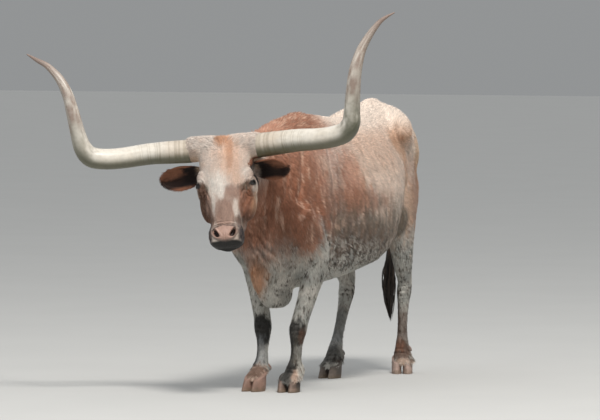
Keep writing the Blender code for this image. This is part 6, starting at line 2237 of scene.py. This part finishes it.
@dataclass
class Coat:
    """Short tufts rooted all over the haired skin, lying along the body."""

    markings: Markings
    ears: Ears
    seed: int = 23
    most: int = 33_000
    patch: float = 0.003
    unwrap_faces: int = 12_000
    heights: tuple[float, float, float] = (0.0010, 0.0016, 0.0022)
    roundness: float = 0.45
    horn_reach: float = 0.085

    def lie(self, places: np.ndarray) -> np.ndarray:
        """Give the direction in which the hair lies, before it is laid onto the skin."""
        x, y, z = places.T
        trunk = np.stack([np.zeros_like(x), np.full_like(x, 0.80), np.full_like(x, -0.62)], axis=1)
        along_back = smooth_step(z, 1.12, 1.26)[:, None]
        trunk = trunk + (np.array((0.0, 1.0, -0.05)) - trunk) * along_back
        front = smooth_step(y, -0.62, -0.86)[:, None]
        trunk = trunk + (np.array((0.0, 0.30, -0.95)) - trunk) * front * (1 - 0.5 * along_back)
        rear = smooth_step(y, 0.62, 0.74)[:, None]
        trunk = trunk + (np.array((0.0, 0.0, -1.0)) - trunk) * rear
        leg = smooth_step(z, 0.74, 0.58)[:, None] * (np.abs(y + 0.1) > 0.28)[:, None]
        trunk = trunk + (np.array((0.0, 0.10, -1.0)) - trunk) * leg
        face = face_places(places)
        across, out, down = face.T
        swirl = np.stack([across * 4.0, np.zeros_like(x), down - 0.150], axis=1)
        swirl = swirl / np.maximum(np.linalg.norm(swirl, axis=1), 1e-6)[:, None]
        far = smooth_step(down, 0.17, 0.25)[:, None]
        swirl = swirl + (np.array((0.0, 0.0, 1.0)) - swirl) * far * 0.85
        below = smooth_step(out, -0.09, -0.16)[:, None] * smooth_step(down, 0.15, 0.22)[:, None]
        swirl = swirl + (np.array((0.0, -0.55, -0.10)) - swirl) * below
        headward = swirl @ np.array((SIDE, OUT, DOWN))
        knob = smooth_step(np.abs(across), 0.105, 0.135) * smooth_step(down, 0.125, 0.105)
        outward = np.sign(across)[:, None] * np.array(HORN_SIDE) - np.array((0.0, 0.0, 0.30))
        headward = headward + (outward - headward) * knob[:, None]
        share = self.face_share(places)[:, None]
        lie = trunk * (1 - share) + headward * share
        for side, sign in SIDES.items():
            root, along, _, wide = (np.array(axis) for axis in self.ears.frame_of(side, sign))
            on_ear = self.ear_share(places, side, sign)[:, None]
            rim = ((places - root) @ wide)[:, None] / EAR_HALF_WIDTH
            lie = lie * (1 - on_ear) + (along + wide * rim * 0.7) * on_ear
        return lie

    def face_share(self, places: np.ndarray) -> np.ndarray:
        """Give 1 on the head and 0 behind it."""
        ahead = (places - np.array(HEAD_CUT_POINT)) @ np.array(HEAD_CUT_NORMAL)
        clear = np.maximum(smooth_step(places[:, 2], 0.68, 0.76), smooth_step(places[:, 1], -1.00, -1.04))
        return smooth_step(ahead, 0.02, 0.12) * clear

    def ear_share(self, places: np.ndarray, side: str, sign: float) -> np.ndarray:
        """Give 1 on one ear and 0 elsewhere."""
        root, along, opens, wide = (np.array(axis) for axis in self.ears.frame_of(side, sign))
        offset = places - root
        s = offset @ along / EAR_LENGTH
        near = (np.abs(offset @ wide) < EAR_HALF_WIDTH * 1.2) & (np.abs(offset @ opens) < 0.055) & (s < 1.1)
        return smooth_step(s, 0.12, 0.24) * near

    def growth(self, places: np.ndarray, bare: np.ndarray) -> Growth:
        """Work out how the coat grows at each point.

        Args:
            places: rows of x, y, z in the animal's frame.
            bare: how hairless the skin is there, from 0 to 1.

        Returns:
            The growth at those points.
        """
        x, y, z = places.T
        count = len(places)
        face = self.face_share(places)
        leg = smooth_step(z, 0.56, 0.46)
        neck = smooth_step(y, -0.60, -0.74) * (1 - face) * (1 - leg)
        chest = smooth_step(z, 0.86, 0.70) * smooth_step(y, -0.66, -0.80) * (1 - face) * (1 - leg)
        belly = smooth_step(z, 0.66, 0.58) * (1 - leg) * (np.abs(y + 0.05) < 0.35)
        _, _, down = face_places(places).T
        crown = face * smooth_step(down, 0.105, 0.055)
        crest = smooth_step(z, 1.17, 1.24) * smooth_step(y, -0.30, -0.42) * (1 - face)
        ear = sum(self.ear_share(places, side, sign) for side, sign in SIDES.items())
        length = np.full(count, 0.021)
        width = np.full(count, 0.0044)
        density = np.full(count, 3.0e4)
        lift = np.full(count, 0.17)
        # Where a kind of coat grows, then its length, width, tufts for each square metre and lift
        forms = (
            (neck, 0.026, 0.0044, 3.2e4, 0.20),
            (chest, 0.031, 0.0046, 3.0e4, 0.24),
            (belly, 0.026, 0.0042, 3.0e4, 0.22),
            (leg, 0.0135, 0.0027, 5.0e4, 0.15),
            (face, 0.0100, 0.0022, 8.5e4, 0.15),
            (crown, 0.0240, 0.0030, 7.0e4, 0.26),
            (crest, 0.0360, 0.0040, 3.4e4, 0.42),
            (np.clip(ear, 0, 1), 0.0165, 0.0020, 9.0e4, 0.26),
        )
        for share, *values in forms:
            for column, value in zip((length, width, density, lift), values):
                column += (value - column) * share
        for leg_name in LEGS:
            point, normal, _ = coronet_plane(leg_name)
            from_rim = (places - np.array(point)) @ np.array(normal)
            at_foot = np.hypot(x - point.x, y - point.y) < FOOT_REACH
            fringe = smooth_step(from_rim, 0.018, 0.008) * (from_rim > -0.001) * at_foot
            length += (0.023 - length) * fringe
            density += (1.3e5 - density) * fringe
            density *= 1.0 - (from_rim < 0.002) * at_foot
        for sign in SIDES.values():
            apart = np.linalg.norm(places - np.array(eye_place(sign)), axis=1)
            density *= 1.0 - eye_skin(places, sign, 2.0, 1.6)
            length *= 0.48 + 0.52 * smooth_step(apart, 0.028, 0.060)
        muzzle = face * smooth_step(down, 0.40, 0.50)
        length *= 1.0 - 0.35 * muzzle
        density *= 1.0 - smooth_step(bare, 0.15, 0.50)
        for sign in SIDES.values():
            point, normal = (np.array(value) for value in horn_plane(sign))
            ahead = (places - point) @ normal
            beside = np.linalg.norm(places - point - ahead[:, None] * normal, axis=1)
            density *= (ahead < -0.003) | (beside > self.horn_reach)
            length *= 1.0 - 0.55 * smooth_step(ahead, -0.045, -0.005) * (beside < self.horn_reach)
        return Growth(density, length, width, lift, self.lie(places))

    def unwrap(self, skin: bpy.types.Object) -> tuple[BVHTree, np.ndarray, np.ndarray]:
        """Unwrap a light copy of the skin.

        Args:
            skin: the finished skin.

        Returns:
            A search tree of the copy, its triangles' corner places, and their corners' places on the unwrap.
        """
        copy = linked("unwrap", skin.data.copy())
        thin = copy.modifiers.new("thin", "DECIMATE")
        thin.ratio = self.unwrap_faces / max(len(copy.data.polygons), 1)
        apply_all(copy)
        bpy.ops.object.mode_set(mode="EDIT")
        bpy.ops.mesh.select_all(action="SELECT")
        bpy.ops.mesh.quads_convert_to_tris()
        bpy.ops.uv.smart_project(angle_limit=math.radians(66), island_margin=0.004)
        bpy.ops.object.mode_set(mode="OBJECT")
        mesh = copy.data
        corners = np.empty(len(mesh.loops), np.int32)
        mesh.loops.foreach_get("vertex_index", corners)
        flat = np.empty(len(mesh.loops) * 2, np.float32)
        mesh.uv_layers.active.data.foreach_get("uv", flat)
        triangles = corners.reshape(-1, 3)
        points = vertex_places(mesh)
        tree = BVHTree.FromPolygons(points.tolist(), triangles.tolist(), all_triangles=True)
        bpy.data.objects.remove(copy)
        return tree, points[triangles], flat.reshape(-1, 3, 2).astype(float)

    def roots_on_unwrap(self, skin: bpy.types.Object, roots: np.ndarray) -> np.ndarray:
        """Find each root's place on the unwrap."""
        tree, corners, flat = self.unwrap(skin)
        found = np.empty((len(roots), 2))
        for number, root in enumerate(roots.tolist()):
            place, _, index, _ = tree.find_nearest(root)
            a, b, c = corners[index]
            p = np.array(place)
            across, up, offset = b - a, c - a, p - a
            d00, d01, d11 = across @ across, across @ up, up @ up
            d20, d21 = offset @ across, offset @ up
            size = max(d00 * d11 - d01 * d01, 1e-18)
            v = (d11 * d20 - d01 * d21) / size
            w = (d00 * d21 - d01 * d20) / size
            found[number] = flat[index, 0] * (1 - v - w) + flat[index, 1] * v + flat[index, 2] * w
        return found

    def sow(self, skin: bpy.types.Object) -> tuple[np.ndarray, np.ndarray, Growth]:
        """Scatter roots over the skin.

        Args:
            skin: the finished skin.

        Returns:
            Places of the roots, the skin's normals there, and the growth there.
        """
        mesh = skin.data
        mesh.calc_loop_triangles()
        triangles = np.empty(len(mesh.loop_triangles) * 3, np.int32)
        mesh.loop_triangles.foreach_get("vertices", triangles)
        triangles = triangles.reshape(-1, 3)
        places = vertex_places(mesh)
        normals = vertex_normals(mesh)
        bare = np.empty(len(places), np.float32)
        mesh.attributes["bare"].data.foreach_get("value", bare)
        corners = places[triangles]
        area = np.linalg.norm(np.cross(corners[:, 1] - corners[:, 0], corners[:, 2] - corners[:, 0]), axis=1) / 2
        wanted = self.growth(corners.mean(axis=1), bare[triangles].mean(axis=1)).density * area
        draw = np.random.default_rng(self.seed)
        whole = np.floor(wanted + draw.random(len(wanted))).astype(int)
        chosen = np.repeat(np.arange(len(wanted)), whole)
        first, second = draw.random((2, len(chosen)))
        fold = first + second > 1
        first[fold], second[fold] = 1 - first[fold], 1 - second[fold]
        weights = np.stack([1 - first - second, first, second], axis=1)[:, :, None]
        roots = (corners[chosen] * weights).sum(axis=1)
        upward = (normals[triangles[chosen]] * weights).sum(axis=1)
        upward /= np.maximum(np.linalg.norm(upward, axis=1), 1e-9)[:, None]
        naked = (bare[triangles[chosen]] * weights[:, :, 0]).sum(axis=1)
        return roots, upward, self.growth(roots, naked)

    def regions(self, roots: np.ndarray) -> dict[str, np.ndarray]:
        """Part the roots among the coat's pieces."""
        x, y, z = roots.T
        head = self.face_share(roots) > 0.5
        tail = (y > 0.79) & ~head
        legs = (z < 0.56) & ~head & ~tail & ~((np.abs(y + 0.05) < 0.33) & (z > 0.50))
        rest = ~head & ~tail & ~legs
        found = {
            "coat_head": head,
            "coat_tail": tail,
            "coat_legs_front": legs & (y < -0.2),
            "coat_legs_hind": legs & (y >= -0.2),
            "coat_neck": rest & (y < -0.66),
            "coat_shoulders": rest & (y >= -0.66) & (y < -0.34),
            "coat_barrel_left": rest & (y >= -0.34) & (y < 0.30) & (x >= 0),
            "coat_barrel_right": rest & (y >= -0.34) & (y < 0.30) & (x < 0),
            "coat_quarters": rest & (y >= 0.30),
        }
        parted = {}
        for name, mask in found.items():
            numbers = np.flatnonzero(mask)
            parts = max(1, math.ceil(len(numbers) / self.most))
            for part, chunk in enumerate(np.array_split(numbers, parts)):
                parted[name if parts == 1 else f"{name}_{part + 1}"] = chunk
        return parted

    def build(self, skin: bpy.types.Object) -> list[bpy.types.Object]:
        """Grow the coat.

        Args:
            skin: the finished skin, in the animal's frame.

        Returns:
            The coat's pieces, in the animal's frame.
        """
        roots, upward, growth = self.sow(skin)
        LOG.info("coat: %d tufts", len(roots))
        flat = self.roots_on_unwrap(skin, roots)
        colours = self.markings.colours(roots)
        ear_tones, ear_share = self.ears.colours(roots)
        colours += (ear_tones - colours) * ear_share[:, None]
        draw = np.random.default_rng(self.seed + 1)
        colours = colours * (1.0 + 0.36 * (draw.random(len(roots)) - 0.5))[:, None]
        lean = growth.lie - upward * (growth.lie * upward).sum(axis=1)[:, None]
        lean /= np.maximum(np.linalg.norm(lean, axis=1), 1e-6)[:, None]
        left = np.cross(upward, lean)
        yaw = (draw.random(len(roots)) - 0.5) * 0.55
        forward = lean * np.cos(yaw)[:, None] + left * np.sin(yaw)[:, None]
        left = np.cross(upward, forward)
        length = growth.length * (0.75 + 0.5 * draw.random(len(roots)))
        half = growth.width * (0.35 + 0.3 * draw.random(len(roots)))
        rise = growth.lift * (0.6 + 0.8 * draw.random(len(roots)))
        low, top, tip = self.heights
        tall = np.clip(length / 0.020, 0.5, 1.3)
        steps = (
            (0.0, 0.0, np.full(len(roots), -0.0010)),
            (0.40, 1.0, low * tall + 0.25 * length * rise),
            (0.40, -1.0, low * tall + 0.25 * length * rise),
            (0.45, 0.0, top * tall + 0.45 * length * rise),
            (1.0, 0.0, tip * tall * 0.6 + 0.70 * length * rise),
        )
        points = np.stack(
            [
                roots + forward * (length * ahead)[:, None] + left * (half * aside)[:, None] + upward * height[:, None]
                for ahead, aside, height in steps
            ],
            axis=1,
        )
        return [
            self.piece(name, points[chosen], upward[chosen], colours[chosen], flat[chosen])
            for name, chosen in self.regions(roots).items()
            if len(chosen)
        ]

    def piece(
        self, name: str, points: np.ndarray, upward: np.ndarray, colours: np.ndarray, flat: np.ndarray
    ) -> bpy.types.Object:
        """Make one piece of the coat.

        Args:
            name: the piece's name.
            points: five points for each tuft.
            upward: the skin's normal under each tuft.
            colours: each tuft's colour.
            flat: each tuft's place on the unwrap.

        Returns:
            The piece.
        """
        shape = np.array(((0, 3, 1), (0, 2, 3), (1, 3, 4), (3, 2, 4), (0, 1, 2), (1, 4, 2)))
        faces = (np.arange(len(points))[:, None, None] * 5 + shape).reshape(-1, 3)
        piece = from_arrays(name, points.reshape(-1, 3), faces)
        paint(piece.data, "marking", np.repeat(colours, 5, axis=0))
        marks = np.array(((-0.5, 0.0), (0.0, 0.5), (0.0, -0.5), (0.05, 0.0), (0.5, 0.0))) * self.patch
        spread = (flat[:, None] + marks)[:, shape].reshape(-1, 2)
        layer = piece.data.uv_layers.new(name="OFBake")
        layer.data.foreach_set("uv", spread.astype(np.float32).ravel())
        piece.data.shade_smooth()
        own = vertex_normals(piece.data)
        soft = own * self.roundness + np.repeat(upward, 5, axis=0)
        soft /= np.linalg.norm(soft, axis=1)[:, None]
        piece.data.normals_split_custom_set_from_vertices(soft.tolist())
        return piece


@dataclass
class Studio:
    """A pale floor, soft lights and the camera."""

    shift: Vector
    turn: float = math.radians(25.0)
    dip: float = math.radians(2.549)
    place: Station = (10.514, -22.902, 1.970)
    lens: float = 306.0

    def floor(self) -> None:
        """Lay a wide plain floor."""
        bm = bmesh.new()
        bmesh.ops.create_grid(bm, x_segments=1, y_segments=1, size=60.0)
        floor = from_bmesh("studio_floor", bm)
        floor.data.transform(Matrix.Translation(Vector((0.0, 0.0, -0.0005))))
        floor.data.materials.append(FloorFinish().material())

    def light(self, name: str, place: Station, size: float, power_watts: float, colour: Colour) -> None:
        """Hang a soft square light that faces the animal."""
        data = bpy.data.lights.new(name, "AREA")
        data.shape = "SQUARE"
        data.size = size
        data.energy = power_watts
        data.color = colour
        lamp = linked(name, data)
        lamp.location = Vector(place) + self.shift
        aim = Vector((0.0, 0.0, 0.80)) + self.shift - lamp.location
        lamp.rotation_euler = aim.to_track_quat("-Z", "Y").to_euler()

    def world(self) -> None:
        """Set a grey surround that grows bright overhead."""
        world = bpy.data.worlds.new("studio")
        bpy.context.scene.world = world
        world.use_nodes = True
        tree = world.node_tree
        place = tree.nodes.new("ShaderNodeTexCoord")
        parts = tree.nodes.new("ShaderNodeSeparateXYZ")
        ramp = tree.nodes.new("ShaderNodeValToRGB")
        tree.links.new(place.outputs["Generated"], parts.inputs[0])
        tree.links.new(parts.outputs[2], ramp.inputs["Fac"])
        tree.links.new(ramp.outputs["Color"], tree.nodes["Background"].inputs["Color"])
        ramp.color_ramp.elements[0].color = (0.290, 0.298, 0.302, 1.0)
        ramp.color_ramp.elements[0].position = 0.02
        ramp.color_ramp.elements[1].color = (0.72, 0.735, 0.75, 1.0)
        ramp.color_ramp.elements[1].position = 0.85

    def camera(self) -> None:
        """Set the camera where the photo was taken from."""
        data = bpy.data.cameras.new("camera")
        data.lens = self.lens
        data.sensor_width = 36.0
        data.clip_end = 200.0
        camera = linked("camera", data)
        camera.location = Vector(self.place) + self.shift
        ahead = Vector((-math.sin(self.turn), math.cos(self.turn), 0.0)) * math.cos(self.dip)
        ahead.z = -math.sin(self.dip)
        camera.rotation_euler = ahead.to_track_quat("-Z", "Y").to_euler()
        bpy.context.scene.camera = camera
        bpy.context.scene.view_settings.view_transform = "Standard"

    def build(self) -> None:
        """Set up everything that isn't the animal."""
        self.floor()
        self.light("key", (5.0, -6.0, 12.0), 3.0, 1650.0, (1.0, 0.965, 0.92))
        self.light("fill", (-4.0, -12.0, 5.0), 6.0, 150.0, (0.92, 0.96, 1.0))
        self.world()
        self.camera()


SKIN_NODES = (
    ("torso", "neck", "head", "ear_left", "ear_right", "tail_upper", "tail_lower")
    + tuple(f"{leg}_upper" for leg in LEGS)
    + tuple(f"{leg}_lower" for leg in LEGS)
)


def main() -> None:
    """Build the animal and its studio, in order."""
    logging.basicConfig(level=logging.INFO, format="%(name)s: %(message)s")
    bpy.ops.object.select_all(action="DESELECT")
    fitter = Fitter(shift_to_frame())
    markings = Markings()
    ears = Ears()
    coat_finish = CoatFinish("coat").material()
    horn_finish = HornFinish().material()
    hoof_finish = HoofFinish().material()
    eye_finish = EyeFinish().material()
    skin = Skin(markings, ears).build()
    tufts = Coat(markings, ears).build(skin)
    fitter.fit(skin, SkinFinish().material(), SKIN_NODES)
    for piece in tufts:
        fitter.fit(piece, coat_finish)
    for side, sign in SIDES.items():
        horn = Horns().build(side, sign)
        fitter.fit(horn, horn_finish, (f"horn_{side}_base", f"horn_{side}_tip"))
        fitter.fit(Eyes().build(side, sign), eye_finish, ("eye_" + side,))
    for leg in LEGS:
        foot = leg.removeprefix("leg_")
        nodes = tuple(f"{kind}_{foot}_{claw}" for kind in ("claw", "dewclaw") for claw in SIDES)
        fitter.fit(Hooves().build(leg), hoof_finish, nodes)
    brush_finish = CoatFinish("brush", roughness=0.6).material()
    fitter.fit(Switch().build(), brush_finish, ("tail_switch",))
    Studio(fitter.shift).build()


if __name__ == "__main__":
    main()
